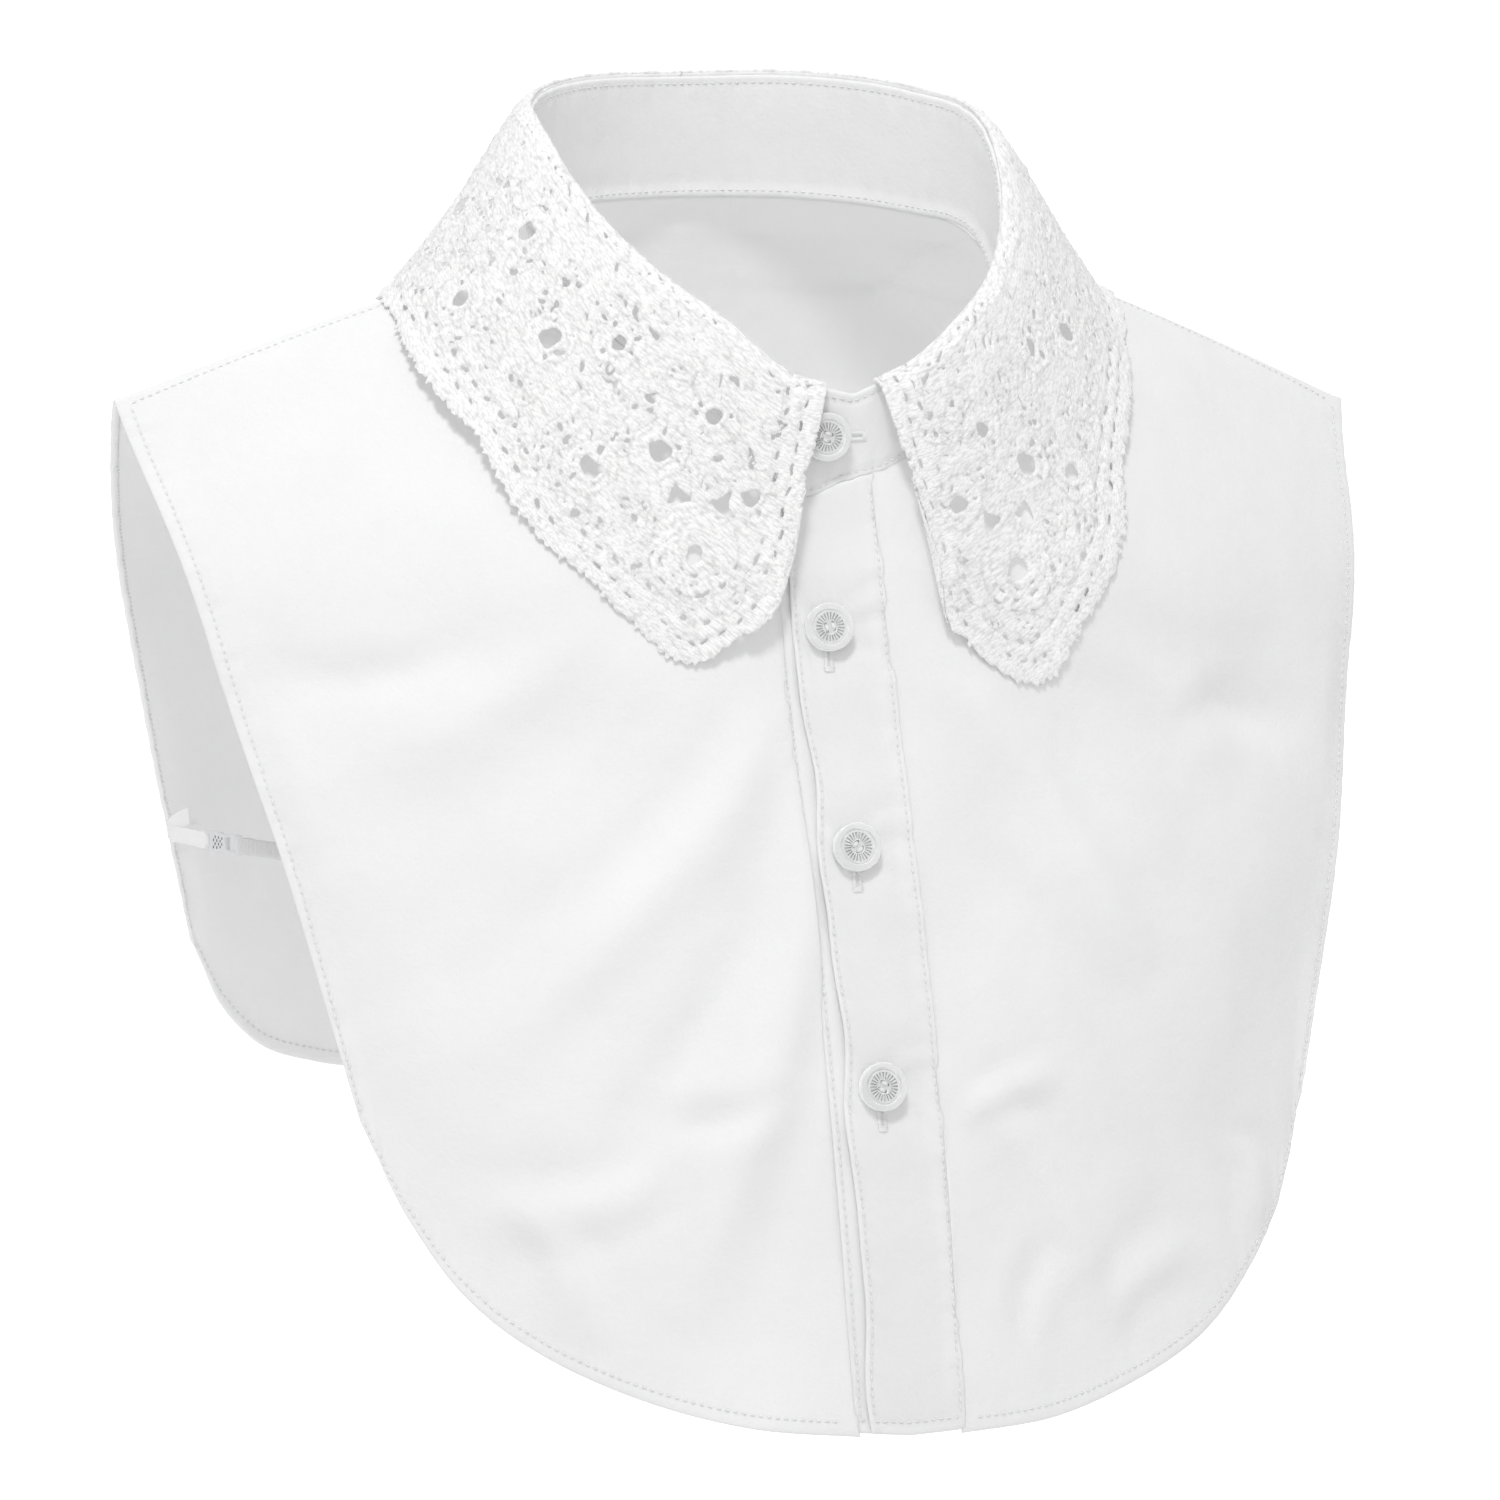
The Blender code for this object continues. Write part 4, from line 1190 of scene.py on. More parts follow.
def march(field, columns_of):
    """Triangles of the cells where a field is positive, cut along its zero line.

    columns_of maps names to grid arrays, which are returned for the vertices of the triangles.
    """
    rows, columns = field.shape
    solid = field > 0
    point_count = rows * columns
    across_count = rows * (columns - 1)
    index = np.arange(point_count).reshape(rows, columns)
    across = point_count + np.arange(across_count).reshape(rows, columns - 1)
    upright = point_count + across_count + np.arange((rows - 1) * columns).reshape(rows - 1, columns)

    def share(first, second):
        with np.errstate(divide="ignore", invalid="ignore"):
            ratio = first / (first - second)
        return np.clip(np.nan_to_num(ratio, nan=0.5), 0.1, 0.9)

    across_share = share(field[:, :-1], field[:, 1:])
    upright_share = share(field[:-1], field[1:])
    corner = [index[:-1, :-1], index[1:, :-1], index[1:, 1:], index[:-1, 1:]]
    middle = [upright[:, :-1], across[1:], upright[:, 1:], across[:-1]]
    flags = [solid[:-1, :-1], solid[1:, :-1], solid[1:, 1:], solid[:-1, 1:]]
    case = sum(flag.astype(int) << bit for bit, flag in enumerate(flags))
    triangles = []
    for number in range(1, 16):
        here = case == number
        if not here.any():
            continue
        inside = [bool(number >> bit & 1) for bit in range(4)]
        if number in (5, 10):
            loops = [[("c", k), ("m", k), ("m", (k + 3) % 4)] for k in range(4) if inside[k]]
        else:
            loop = []
            for k in range(4):
                if inside[k]:
                    loop.append(("c", k))
                if inside[k] != inside[(k + 1) % 4]:
                    loop.append(("m", k))
            loops = [loop]
        for loop in loops:
            found = [(corner if kind == "c" else middle)[k][here] for kind, k in loop]
            for k in range(1, len(found) - 1):
                triangles.append(np.stack([found[0], found[k], found[k + 1]], -1))
    triangles = np.concatenate(triangles)
    used, faces = np.unique(triangles, return_inverse=True)
    result = {}
    for name, grid in columns_of.items():
        flat = grid.reshape((rows, columns, -1))
        level = flat[:, :-1] + (flat[:, 1:] - flat[:, :-1]) * across_share[..., None]
        fall = flat[:-1] + (flat[1:] - flat[:-1]) * upright_share[..., None]
        whole = np.concatenate([part.reshape(-1, flat.shape[-1]) for part in (flat, level, fall)])
        result[name] = whole[used]
    return result, faces.reshape(-1, 3)


def edge_line(surface, length):
    """The leaf's design edge: down its front end and along its outer side to the centre back."""
    rows = LEAF_COARSE_ROWS - 1
    stations = np.linspace(0, LEAF_COARSE - 1, 900)
    share = length / (length + LACE_MARGIN) * rows
    outer = np.stack([resample(surface, np.array([np.interp(s, np.arange(LEAF_COARSE), share)]), np.array([s]))[0, 0]
                      for s in stations])
    front = resample(surface, np.linspace(0, share[0], 140), np.array([0.0]))[:, 0]
    return np.concatenate([front, outer[1:]])


def place_on(surface, length, station, row):
    """Centre and two level directions of a motif, by its CAD station and row."""
    at = station / LEAF_SPANS * (LEAF_COARSE - 1)
    reach = np.interp(at, np.arange(LEAF_COARSE), length)
    down = row / LEAF_DEPTHS * reach / (reach + LACE_MARGIN) * (LEAF_COARSE_ROWS - 1)
    centre = resample(surface, np.array([down]), np.array([at]))[0, 0]
    beside = resample(surface, np.array([down]), np.array([at + 0.2]))[0, 0]
    below = resample(surface, np.array([down + 0.1]), np.array([at]))[0, 0]
    right = (beside - centre) / np.linalg.norm(beside - centre)
    fall = below - centre
    fall = fall - right * right.dot(fall)
    return centre, right, fall / np.linalg.norm(fall)


def lace_pieces(sizes):
    """Both leaves of the guipure collar, worked as rounded yarn round every hole."""
    body = body_tree()
    cell = sizes.lace_cell / MILLIMETRE
    half = sizes.lace_thickness / MILLIMETRE / 2
    colour = tuple(bpy.context.scene.dickey_colours.lace)
    made_of = shared("lace_yarn", yarn_material, colour, LACE_PAINTED_GLOW)
    # A glowing copy of the yarn for the inner faces: painted light.
    painted_glow_yarn = shared("lace_yarn_inside", yarn_material, colour, LACE_INSIDE_PAINTED_GLOW)
    for word, edge_rows, side in (("lace_collar_right", RIGHT_LEAF_EDGE, -1), ("lace_collar_left", LEFT_LEAF_EDGE, 1)):
        surface, length = leaf_surface(edge_rows, side, body)
        outer_length = travelled(surface, 1)[-4, -1]
        columns = int(outer_length / cell)
        rows = int((length.max() + LACE_MARGIN) / cell)
        row_places = np.linspace(0, LEAF_COARSE_ROWS - 1, rows)
        column_places = np.linspace(-0.7, LEAF_COARSE - 1, columns)
        grid = resample(surface, row_places, column_places)
        length_here = np.interp(column_places, np.arange(LEAF_COARSE), length)
        depth = (row_places / (LEAF_COARSE_ROWS - 1))[:, None] * (length_here + LACE_MARGIN)[None, :]
        cloth, outline, height, phase = leaf_design(grid, surface, length, depth, column_places, length_here, side)
        normal = surface_normals(grid)
        if (normal[rows // 2, columns // 4] @ (grid[rows // 2, columns // 4] - np.array([0, 0, -40.0]))) < 0:
            normal = -normal
        round_edge = np.sqrt(np.clip(1 - (1 - np.clip(cloth / 0.95, 0, 1)) ** 2, 0.04, 1))
        outer = grid + normal * (half * round_edge + height * round_edge)[..., None]
        inner = grid - normal * (half * round_edge + 0.35 * np.clip(height, 0, None) * round_edge)[..., None]
        flat = np.stack([travelled(grid, 1), depth], -1)
        found, faces = march(cloth, {"outer": outer, "inner": inner, "flat": flat, "phase": phase,
                                      "deep": outline})
        order = faces if side > 0 else faces[:, ::-1]
        face_normal = np.cross(found["outer"][order[:, 1]] - found["outer"][order[:, 0]],
                               found["outer"][order[:, 2]] - found["outer"][order[:, 0]])
        reference = found["outer"][order[:, 0]] - found["inner"][order[:, 0]]
        if (face_normal * reference).sum() < 0:
            order = order[:, ::-1]
        piece = closed_wall(word + "_yarn", found["outer"], found["inner"], np.ascontiguousarray(order), found["flat"],
                            {"thread_phase": found["phase"][:, 0]})
        dress(piece, made_of, "lace", word)
        piece.data.materials.append(painted_glow_yarn)
        # Inner faces further than the margin inside the edge take the glowing copy: painted light that lightens the
        # shade under the lace.
        corners = np.zeros(len(piece.data.loops), np.int32)
        piece.data.loops.foreach_get("vertex_index", corners)
        corners = corners.reshape(-1, 3)
        count = len(found["outer"])
        painted_glow_faces = (corners >= count).all(axis=1) & (found["deep"][corners[:, 0] % count, 0] > PAINTED_GLOW_MARGIN)
        piece.data.polygons.foreach_set("material_index", painted_glow_faces.astype(np.int32))
        print(word, "triangles", len(piece.data.polygons))


# The lace's motifs
FLOWER_PETALS = 7
FLOWER_REACH = 4.4
ROSETTE_STATION = 7
ROSETTE_ROW = 7
ROSETTE_REACH = 11.2
ROSETTE_RINGS = (4.8, 7.6, 10.4)
ROSETTE_OPEN = math.radians(100)
LEAF_OPENINGS = [(-46, 14.2, 2.6), (-92, 13.6, 2.6)]
DAISY_PITCH = 8.8
DAISY_HOLES = 6
DAISY_REACH = 3.7
BORDER_PITCH = 5.4
BORDER_ROWS = (3.9, 8.0)
BORDER_WIDTH = 10.2
SCALLOP_PITCH = 46.0
SCALLOP_HEIGHT = 2.4
PICOT_PITCH = 2.1
FOLD_SLIT_PITCH = 4.1
FOLD_BAND = 6.0
FILL_PITCH = 2.7


def scatter(number, seed):
    """A steady uneven value between 0 and 1 for each whole number."""
    return np.mod(np.sin(number * 12.9898 + seed * 78.233) * 43758.5453, 1.0)


def slots(along, across, pitch, seed, length, width):
    """Distance outside a row of uneven slots, some of them missing."""
    number = np.floor(along / pitch)
    spread = scatter(number, seed)
    width = np.where(spread < 0.14, -2.0, width * (0.8 + 0.5 * scatter(number, seed + 3)))
    slide = (along / pitch % 1.0 - 0.5) * pitch + (scatter(number, seed + 5) - 0.5) * 0.5
    return capsule_gap(slide, across + (spread - 0.5) * 0.4, length * (0.45 + 0.9 * spread), width)


def petal_turn(angle, petals, shift=0.0):
    """The angle from the middle of the nearest petal."""
    return ((angle / (2 * math.pi) * petals + shift) % 1.0 - 0.5) * 2 * math.pi / petals


def leaf_design(grid, surface, length, depth, station_share, length_here, side):
    """The lace's design over a fine grid: where there is yarn, how high it stands and how its threads run."""
    rows, columns = grid.shape[:2]
    seed = 3 if side > 0 else 17
    line = edge_line(surface, length)
    line_reach = travelled(line, 0)
    tree = KDTree(len(line))
    for number, point in enumerate(line):
        tree.insert(point, number)
    tree.balance()
    near = [tree.find(point) for point in grid.reshape(-1, 3)]
    away = np.array([found[2] for found in near]).reshape(rows, columns)
    place = line_reach[np.array([found[1] for found in near])].reshape(rows, columns)
    inside = (depth <= length_here[None, :]) & (station_share >= 0)[None, :]
    away = np.where(inside, away, -away)
    along = travelled(grid, 1)
    wobble = np.stack([noise_field(grid, 6.5, seed + k) for k in range(3)], -1) * 0.7
    fray = np.stack([noise_field(grid, 2.0, seed + 10 + k) for k in range(3)], -1) * 0.17
    worked = grid + wobble + fray
    uneven = wobble[..., 0] + fray[..., 0]
    rough = noise_field(grid, 1.7, seed + 20)

    scallop = SCALLOP_HEIGHT * np.abs(np.sin(math.pi * (place - 24.0) / SCALLOP_PITCH)) ** 0.6 - 1.2
    picot = (0.34 * np.sin(2 * math.pi * place / PICOT_PITCH + 2.0 * wobble[..., 1]) + 0.42 * rough
             + 0.4 * np.sin(2 * math.pi * place / (2.6 * PICOT_PITCH) + 3.0 * wobble[..., 2]))
    outline = away + scallop + picot + 0.35
    edge = away + uneven * 0.8
    yarn = np.full(outline.shape, 9.0)
    height = 0.22 * bump(edge - 1.0, 1.1)
    phase = place / 0.7 * 2 * math.pi
    for number, row_away in enumerate(BORDER_ROWS):
        yarn = np.minimum(yarn, slots(place + number * 2.6, edge - row_away, BORDER_PITCH, seed + number, 0.85, 0.4))
        height = height - 0.24 * bump(edge - row_away, 0.55) + 0.16 * bump(edge - row_away - 2.0, 0.9)
    yarn = np.minimum(yarn, slots(along + 0.8 * depth, depth - 3.5 + 2.0 * uneven, FOLD_SLIT_PITCH, seed + 8, 0.5, 0.34))
    in_fold = depth < FOLD_BAND
    height = np.where(in_fold, 0.16 * bump(depth - 1.0, 0.9) + 0.14 * bump(depth - 5.6, 0.7), height)

    field = np.minimum(away - BORDER_WIDTH, depth - FOLD_BAND)
    b = depth / (FILL_PITCH * 0.87) + wobble[..., 1]
    a = along / FILL_PITCH + 0.5 * (np.floor(b) % 2) + wobble[..., 2]
    spot = np.floor(a) * 57 + np.floor(b)
    shift_a, shift_b = (scatter(spot, seed) - 0.5) * 0.4, (scatter(spot, seed + 1) - 0.5) * 0.4
    pinhole = (np.hypot((a % 1.0 - 0.5 - shift_a) * FILL_PITCH, (b % 1.0 - 0.5 - shift_b) * FILL_PITCH * 0.87)
               - (1.2 * scatter(spot, seed + 2) - 0.45))
    pinhole = np.where(noise_field(grid, 15.0, seed + 40) > -0.3, pinhole, 9.0)
    dent = bump(np.clip(pinhole, 0, None), 0.45)
    yarn = np.where(field > 0, np.minimum(yarn, pinhole), yarn)
    height = np.where(field > 0, height - 0.22 * dent, height)
    phase = np.where(field > -1.0, (along + 0.7 * depth + 3.0 * wobble[..., 0]) / 0.8 * 2 * math.pi, phase)

    taken = [(place_on(surface, length, station, row), radius) for station, row, radius in LEAF_HOLES]
    daisies = daisy_places(surface, length, taken)
    for centre, right, down in daisies:
        local = worked - centre
        u, v = local @ right, local @ down
        spread, angle = np.hypot(u, v), np.arctan2(v, u)
        if spread.min() > 1.5:
            continue
        petal = np.floor((angle + centre[2]) / (2 * math.pi) * DAISY_HOLES) + round(float(centre[0]) * 3)
        size = 1.15 * scatter(petal, seed) - 0.12
        swing = petal_turn(angle + centre[2], DAISY_HOLES) + 0.5 * (scatter(petal, seed + 6) - 0.5)
        holes = np.hypot(spread * np.cos(swing) - 1.7 - 0.9 * scatter(petal, seed + 4),
                         1.25 * spread * np.sin(swing)) - size
        weight = ease((DAISY_REACH - spread) / 0.8)
        petals = 0.24 * bump(spread, 1.2) + 0.22 * bump(spread - 3.4, 0.6)
        yarn = np.minimum(np.maximum(yarn, DAISY_REACH - spread), holes + 9.0 * (spread > DAISY_REACH))
        height = height * (1 - weight) + petals * weight
        phase = np.where(spread < DAISY_REACH, angle * 26, phase)
    for number, ((centre, right, down), radius) in enumerate(taken):
        local = worked - centre
        u, v = local @ right, local @ down
        spread, angle = np.hypot(u, v), np.arctan2(v, u)
        rosette = LEAF_HOLES[number][:2] == (ROSETTE_STATION, ROSETTE_ROW)
        reach = ROSETTE_REACH if rosette else radius + FLOWER_REACH
        holes = spread - radius * (0.9 if number % 3 else 1.0)
        if rosette:
            petals = 0.22 + 0.2 * np.cos(2 * math.pi * spread / 2.0)
            for ring_number, ring in enumerate(ROSETTE_RINGS):
                turn = petal_turn(angle + ring_number, 7 + 2 * ring_number)
                arc = capsule_gap(spread * turn, spread - ring, 0.5 + 0.3 * ring_number, 0.36)
                open_side = np.cos(angle - ROSETTE_OPEN) > (-0.1 if ring_number else 0.5)
                holes = np.minimum(holes, np.where(open_side, arc, 9.0))
        else:
            sector = petal_turn(angle, FLOWER_PETALS)
            petal = np.floor(angle / (2 * math.pi) * FLOWER_PETALS)
            size = 0.85 * scatter(petal, seed + number) - 0.12
            sector = sector + 0.4 * (scatter(petal, seed + number + 9) - 0.5)
            ray = spread * np.cos(sector) - radius - 1.9 - 0.8 * scatter(petal, seed + number + 4)
            holes = np.minimum(holes, capsule_gap(ray, spread * np.sin(sector), 0.3, size))
            petals = (0.3 * bump(spread - radius - 0.8, 0.7) + 0.3 * bump(spread - reach + 0.8, 0.8)
                      + 0.16 * np.cos(sector * FLOWER_PETALS) * bump(spread - radius - 2.4, 1.2))
        weight = ease((reach - spread) / 1.2)
        yarn = np.minimum(np.maximum(yarn, reach - spread), holes + 9.0 * (spread > reach))
        height = height * (1 - weight) + petals * weight
        phase = np.where(spread < radius + 1.4, angle * 30, np.where(spread < reach, angle * 44, phase))
    centre, right, down = place_on(surface, length, ROSETTE_STATION, ROSETTE_ROW)
    local = worked - centre
    for degrees, reach, half in LEAF_OPENINGS:
        turn = math.radians(degrees)
        u = local @ (right * math.cos(turn) + down * math.sin(turn)) - reach
        v = local @ (down * math.cos(turn) - right * math.sin(turn))
        opening = np.maximum(np.abs(v) - half + 0.75 * u, -u - 1.2)
        yarn = np.where(np.hypot(u, v) < 5, np.minimum(np.maximum(yarn, 1.2), opening), yarn)
    height = height + 0.1 * rough + 0.06 * noise_field(grid, 1.6, seed + 30) + 0.16 * noise_field(grid, 6.0, seed + 31)
    return np.minimum(yarn, outline), outline, height, phase


def daisy_places(surface, length, taken):
    """Centres of the small eyelet flowers, in offset rows wherever the larger flowers leave room."""
    found = []
    station_step = LEAF_SPANS / 34.0
    for line_number, row in enumerate((2.6, 4.1, 5.6, 7.1, 8.3)):
        for step in range(2, 34):
            station = (step + 0.5 * (line_number % 2)) * station_step
            if station > LEAF_SPANS - 1:
                continue
            centre, right, down = place_on(surface, length, station, row)
            room = min(np.linalg.norm(centre - other[0]) - radius - FLOWER_REACH for other, radius in taken)
            rosette = place_on(surface, length, ROSETTE_STATION, ROSETTE_ROW)[0]
            room = min(room, np.linalg.norm(centre - rosette) - ROSETTE_REACH)
            beside = min((np.linalg.norm(centre - other[0]) for other in found), default=99.0)
            if room > DAISY_REACH * 0.55 and beside > DAISY_PITCH * 0.8 and row / LEAF_DEPTHS < 0.86:
                found.append((centre, right, down))
    return found


# Details of the clear buttons
BUTTON_INSETS = [
    (0.55, 0.0),
    (0.75, 0.0),
    (0.30, -0.55),
    (0.30, 0.0),
    (0.20, 0.25),
    (0.30, 0.0),
]
FLUTE_BAND = 1.7
FLUTE_DEPTH = 0.75
THREAD_HOLE_SPREAD = 0.85
THREAD_HOLE_RADIUS = 0.42
BUTTONHOLE_LENGTH = 14.0
BUTTONHOLE_DROP = 3.6
BUTTON_TURNS = {"button_neck": 20.0, "button_upper": 75.0, "button_middle": 140.0, "button_lower": 205.0}


def picked(mesh_object, test):
    """Select the faces of a mesh in edit mode that pass a test, and no others."""
    mesh = bmesh.from_edit_mesh(mesh_object.data)
    bpy.ops.mesh.select_all(action="DESELECT")
    bpy.ops.mesh.select_mode(type="FACE")
    mesh = bmesh.from_edit_mesh(mesh_object.data)
    mesh.faces.ensure_lookup_table()
    found = [face for face in mesh.faces if test(face)]
    if not found:
        raise RuntimeError("no face was found to work on")
    for face in found:
        face.select_set(True)
    mesh.select_flush_mode()
    bmesh.update_edit_mesh(mesh_object.data)
    return len(found)


def started(name):
    """The new primitive, renamed and opened in edit mode."""
    piece = bpy.context.active_object
    piece.name = name
    bpy.ops.object.transform_apply(location=True, rotation=True, scale=True)
    bpy.ops.object.mode_set(mode="EDIT")
    return piece


def closed_up(piece, sharp_degrees):
    """Leave edit mode with the faces turned outward and smoothly shaded."""
    bpy.ops.mesh.select_all(action="SELECT")
    bpy.ops.mesh.normals_make_consistent(inside=False)
    bpy.ops.object.mode_set(mode="OBJECT")
    bpy.ops.object.shade_smooth_by_angle(angle=math.radians(sharp_degrees))
    return piece


def button_model():
    """A clear button at the origin, its face towards +Z: turned rim, fluted dish and four thread holes."""
    unit = MILLIMETRE
    bpy.ops.object.select_all(action="DESELECT")
    bpy.ops.mesh.primitive_cylinder_add(vertices=BUTTON_SIDES, radius=BUTTON_RADIUS * unit,
                                        depth=BUTTON_THICKNESS * unit, end_fill_type="NGON")
    piece = started("button_model")
    top = BUTTON_THICKNESS / 2 * unit

    def middle(face):
        return len(face.verts) == BUTTON_SIDES and face.calc_center_median().z > 0

    radius = BUTTON_RADIUS
    for inset, depth in BUTTON_INSETS:
        picked(piece, middle)
        bpy.ops.mesh.inset(thickness=inset * unit, depth=depth * unit)
        radius -= inset
    outer = radius
    picked(piece, middle)
    bpy.ops.mesh.inset(thickness=FLUTE_BAND * unit, depth=0)
    inner = radius - FLUTE_BAND

    def fluted(face):
        centre = face.calc_center_median()
        reach = math.hypot(centre.x, centre.y) / unit
        step = int(math.degrees(math.atan2(centre.y, centre.x)) % 360 / (360 / BUTTON_SIDES))
        return inner < reach < outer and centre.z > 0 and len(face.verts) == 4 and step % 2 == 0

    picked(piece, fluted)
    bpy.ops.mesh.inset(thickness=0.05 * unit, depth=-FLUTE_DEPTH * unit, use_individual=True)
    picked(piece, middle)
    bpy.ops.mesh.inset(thickness=0.25 * unit, depth=-0.35 * unit)
    picked(piece, middle)
    bpy.ops.mesh.inset(thickness=0.12 * unit, depth=0)
    picked(piece, middle)
    bpy.ops.mesh.delete(type="ONLY_FACE")
    bpy.ops.mesh.select_mode(type="EDGE")
    bpy.ops.mesh.select_all(action="DESELECT")
    bpy.ops.mesh.select_non_manifold()
    bpy.ops.mesh.fill_grid(span=BUTTON_SIDES // 4)

    def at_hole(face):
        centre = face.calc_center_median() / unit
        away = math.hypot(abs(centre.x) - THREAD_HOLE_SPREAD, abs(centre.y) - THREAD_HOLE_SPREAD)
        return centre.z > -0.2 and face.normal.z > 0.9 and away < THREAD_HOLE_RADIUS

    picked(piece, at_hole)
    bpy.ops.mesh.extrude_region_move(TRANSFORM_OT_translate={"value": (0, 0, -1.2 * unit)})
    bpy.ops.mesh.select_mode(type="EDGE")
    bpy.ops.mesh.select_all(action="DESELECT")
    mesh = bmesh.from_edit_mesh(piece.data)
    for edge in mesh.edges:
        reach = [math.hypot(vertex.co.x, vertex.co.y) / unit for vertex in edge.verts]
        level = abs(edge.verts[0].co.z - edge.verts[1].co.z) < 1e-7 and abs(abs(edge.verts[0].co.z) - top) < 1e-7
        edge.select_set(level and min(reach) > BUTTON_RADIUS - 0.05)
    bmesh.update_edit_mesh(piece.data)
    bpy.ops.mesh.bevel(offset=0.42 * unit, segments=3, affect="EDGES")
    return closed_up(piece, 40.0)


def over_band_tree():
    """A search tree of the over band's middle surface, on which the buttons stand."""
    grid = outward(band_surface(OVER_BAND_FREE_EDGE, OVER_BAND_SEAM, np.linspace(0, 1, 20), np.linspace(0, 1, 60)))
    return grid_tree(offset(grid, LAYER))


def grid_tree(grid):
    rows, columns = grid.shape[:2]
    index = np.arange(rows * columns).reshape(rows, columns)
    faces = np.stack([index[:-1, :-1], index[1:, :-1], index[1:, 1:], index[:-1, 1:]], -1).reshape(-1, 4)
    return BVHTree.FromPolygons([Vector(point) for point in grid.reshape(-1, 3)], faces.tolist())


def button_places():
    """Where each button stands: its centre, the directions of its plane and its normal."""
    places = {}
    band = over_band_tree()
    for name, drop in BUTTON_DROPS.items():
        before = Vector((closure_x(-drop) + BUTTON_OFFSET, -2 * SHOULDER_TIP_X, -drop))
        place, normal, _, _ = band.ray_cast(before, Vector((0, 1, 0)))
        places[name] = (place, normal if normal.y < 0 else -normal)
    degrees = neck_degrees(NECK_BUTTON_X)
    base = stand_point(degrees, np.array(0.0))
    top = stand_point(degrees, np.array(1.0))
    share = (-NECK_BUTTON_DROP - base[2]) / (top[2] - base[2])
    places["button_neck"] = (Vector(base + (top - base) * share), Vector(neck_radial(degrees)))
    frames = {}
    for name, (place, normal) in places.items():
        across = normal.cross(Vector((0, 0, 1))).normalized()
        upward = across.cross(normal)
        centre = place + normal * (WALL / 2 + BUTTON_GAP + BUTTON_THICKNESS / 2)
        frames[name] = (centre, across, upward, normal)
    return frames


def resin_material(name, colour):
    """Clear cast resin with faint cloudiness and fine scratches."""
    made, nodes, links, shader = material(name, colour, 0.07)
    shader.inputs["Transmission Weight"].default_value = 0.35
    shader.inputs["IOR"].default_value = 1.45
    place = nodes.new("ShaderNodeTexCoord")
    scratches = nodes.new("ShaderNodeTexNoise")
    scratches.inputs["Scale"].default_value = 900.0
    scratches.inputs["Detail"].default_value = 3.0
    links.new(place.outputs["Object"], scratches.inputs["Vector"])
    add_bump(nodes, links, shader, scratches.outputs["Fac"], 0.00003, 0.4)
    varied_colour(nodes, links, shader, place.outputs["Object"], colour, 0.015, 400.0)
    return made


def placed_copy(model, name, matrix, made, slot, *replaced):
    """A copy of a model with its own mesh, moved into place in the mesh itself."""
    twin = model.copy()
    twin.data = model.data.copy()
    twin.name = name
    twin.data.name = name
    bpy.context.scene.collection.objects.link(twin)
    twin.data.transform(matrix)
    return dress(twin, made, slot, *replaced)


def frame_matrix(centre, first, second, third):
    """The move from a model's own axes to three directions at a place in millimetres."""
    turn = Matrix((first, second, third)).transposed().to_4x4()
    return Matrix.Translation(Vector(centre) * MILLIMETRE) @ turn


def button_pieces():
    """Four copies of the button, turned differently, each with its crossing threads."""
    model = button_model()
    made = shared("button_resin", resin_material, tuple(bpy.context.scene.dickey_colours.resin))
    threads = []
    for name, (centre, across, upward, normal) in button_places().items():
        turn = math.radians(BUTTON_TURNS[name])
        first = across * math.cos(turn) + upward * math.sin(turn)
        second = upward * math.cos(turn) - across * math.sin(turn)
        placed_copy(model, name + "_resin", frame_matrix(centre, first, second, normal), made, "button", name)
        starts, ends = [], []
        for way in (-1, 1):
            for strand in (-0.22, 0.0, 0.22):
                level = centre + normal * (BUTTON_THICKNESS / 2 - 0.62) + second * (way * THREAD_HOLE_SPREAD + strand)
                starts.append(level - first * THREAD_HOLE_SPREAD)
                ends.append(level + first * THREAD_HOLE_SPREAD)
        threads.append(capsules(starts, ends, [normal] * len(starts), 0.17, 0.22))
        starts = [centre + first * (THREAD_HOLE_SPREAD * a) + second * (THREAD_HOLE_SPREAD * b)
                  - normal * (BUTTON_THICKNESS / 2 + 1.3) for a in (-1, 1) for b in (-1, 1)]
        ends = [start + normal * (BUTTON_THICKNESS + 0.7) for start in starts]
        threads.append(capsules(starts, ends, [across] * len(starts), 0.3, 0.0))
    bpy.data.objects.remove(model, do_unlink=True)
    dress(joined("button_threads", threads), sewing_material(), "cloth")


def buttonhole(tree, start, end, pitch=0.34, reach=1.15):
    """Dense satin stitches on both sides of a slit, with a bar at each end, laid on a cloth face."""
    start, end = Vector(start), Vector(end)
    along = (end - start).normalized()
    count = int((end - start).length / pitch)
    starts, ends, ups = [], [], []

    def laid(point):
        place, normal, _, _ = tree.find_nearest(point)
        return place + normal * 0.06, normal

    for step in range(count + 1):
        place, normal = laid(start + (end - start) * (step / count))
        across = along.cross(normal).normalized()
        for way in (-1, 1):
            near, up = laid(place + across * (0.16 * way))
            far, _ = laid(place + across * ((0.16 + reach) * way))
            starts.append(near)
            ends.append(far)
            ups.append(up)
    for tip, way in ((start, -1), (end, 1)):
        for bar in range(4):
            place, normal = laid(tip + along * (way * (0.15 + 0.3 * bar)))
            across = along.cross(normal).normalized()
            starts.append(place - across * (reach + 0.25))
            ends.append(place + across * (reach + 0.25))
            ups.append(normal)
    return capsules(starts, ends, ups, 0.2, 0.16)


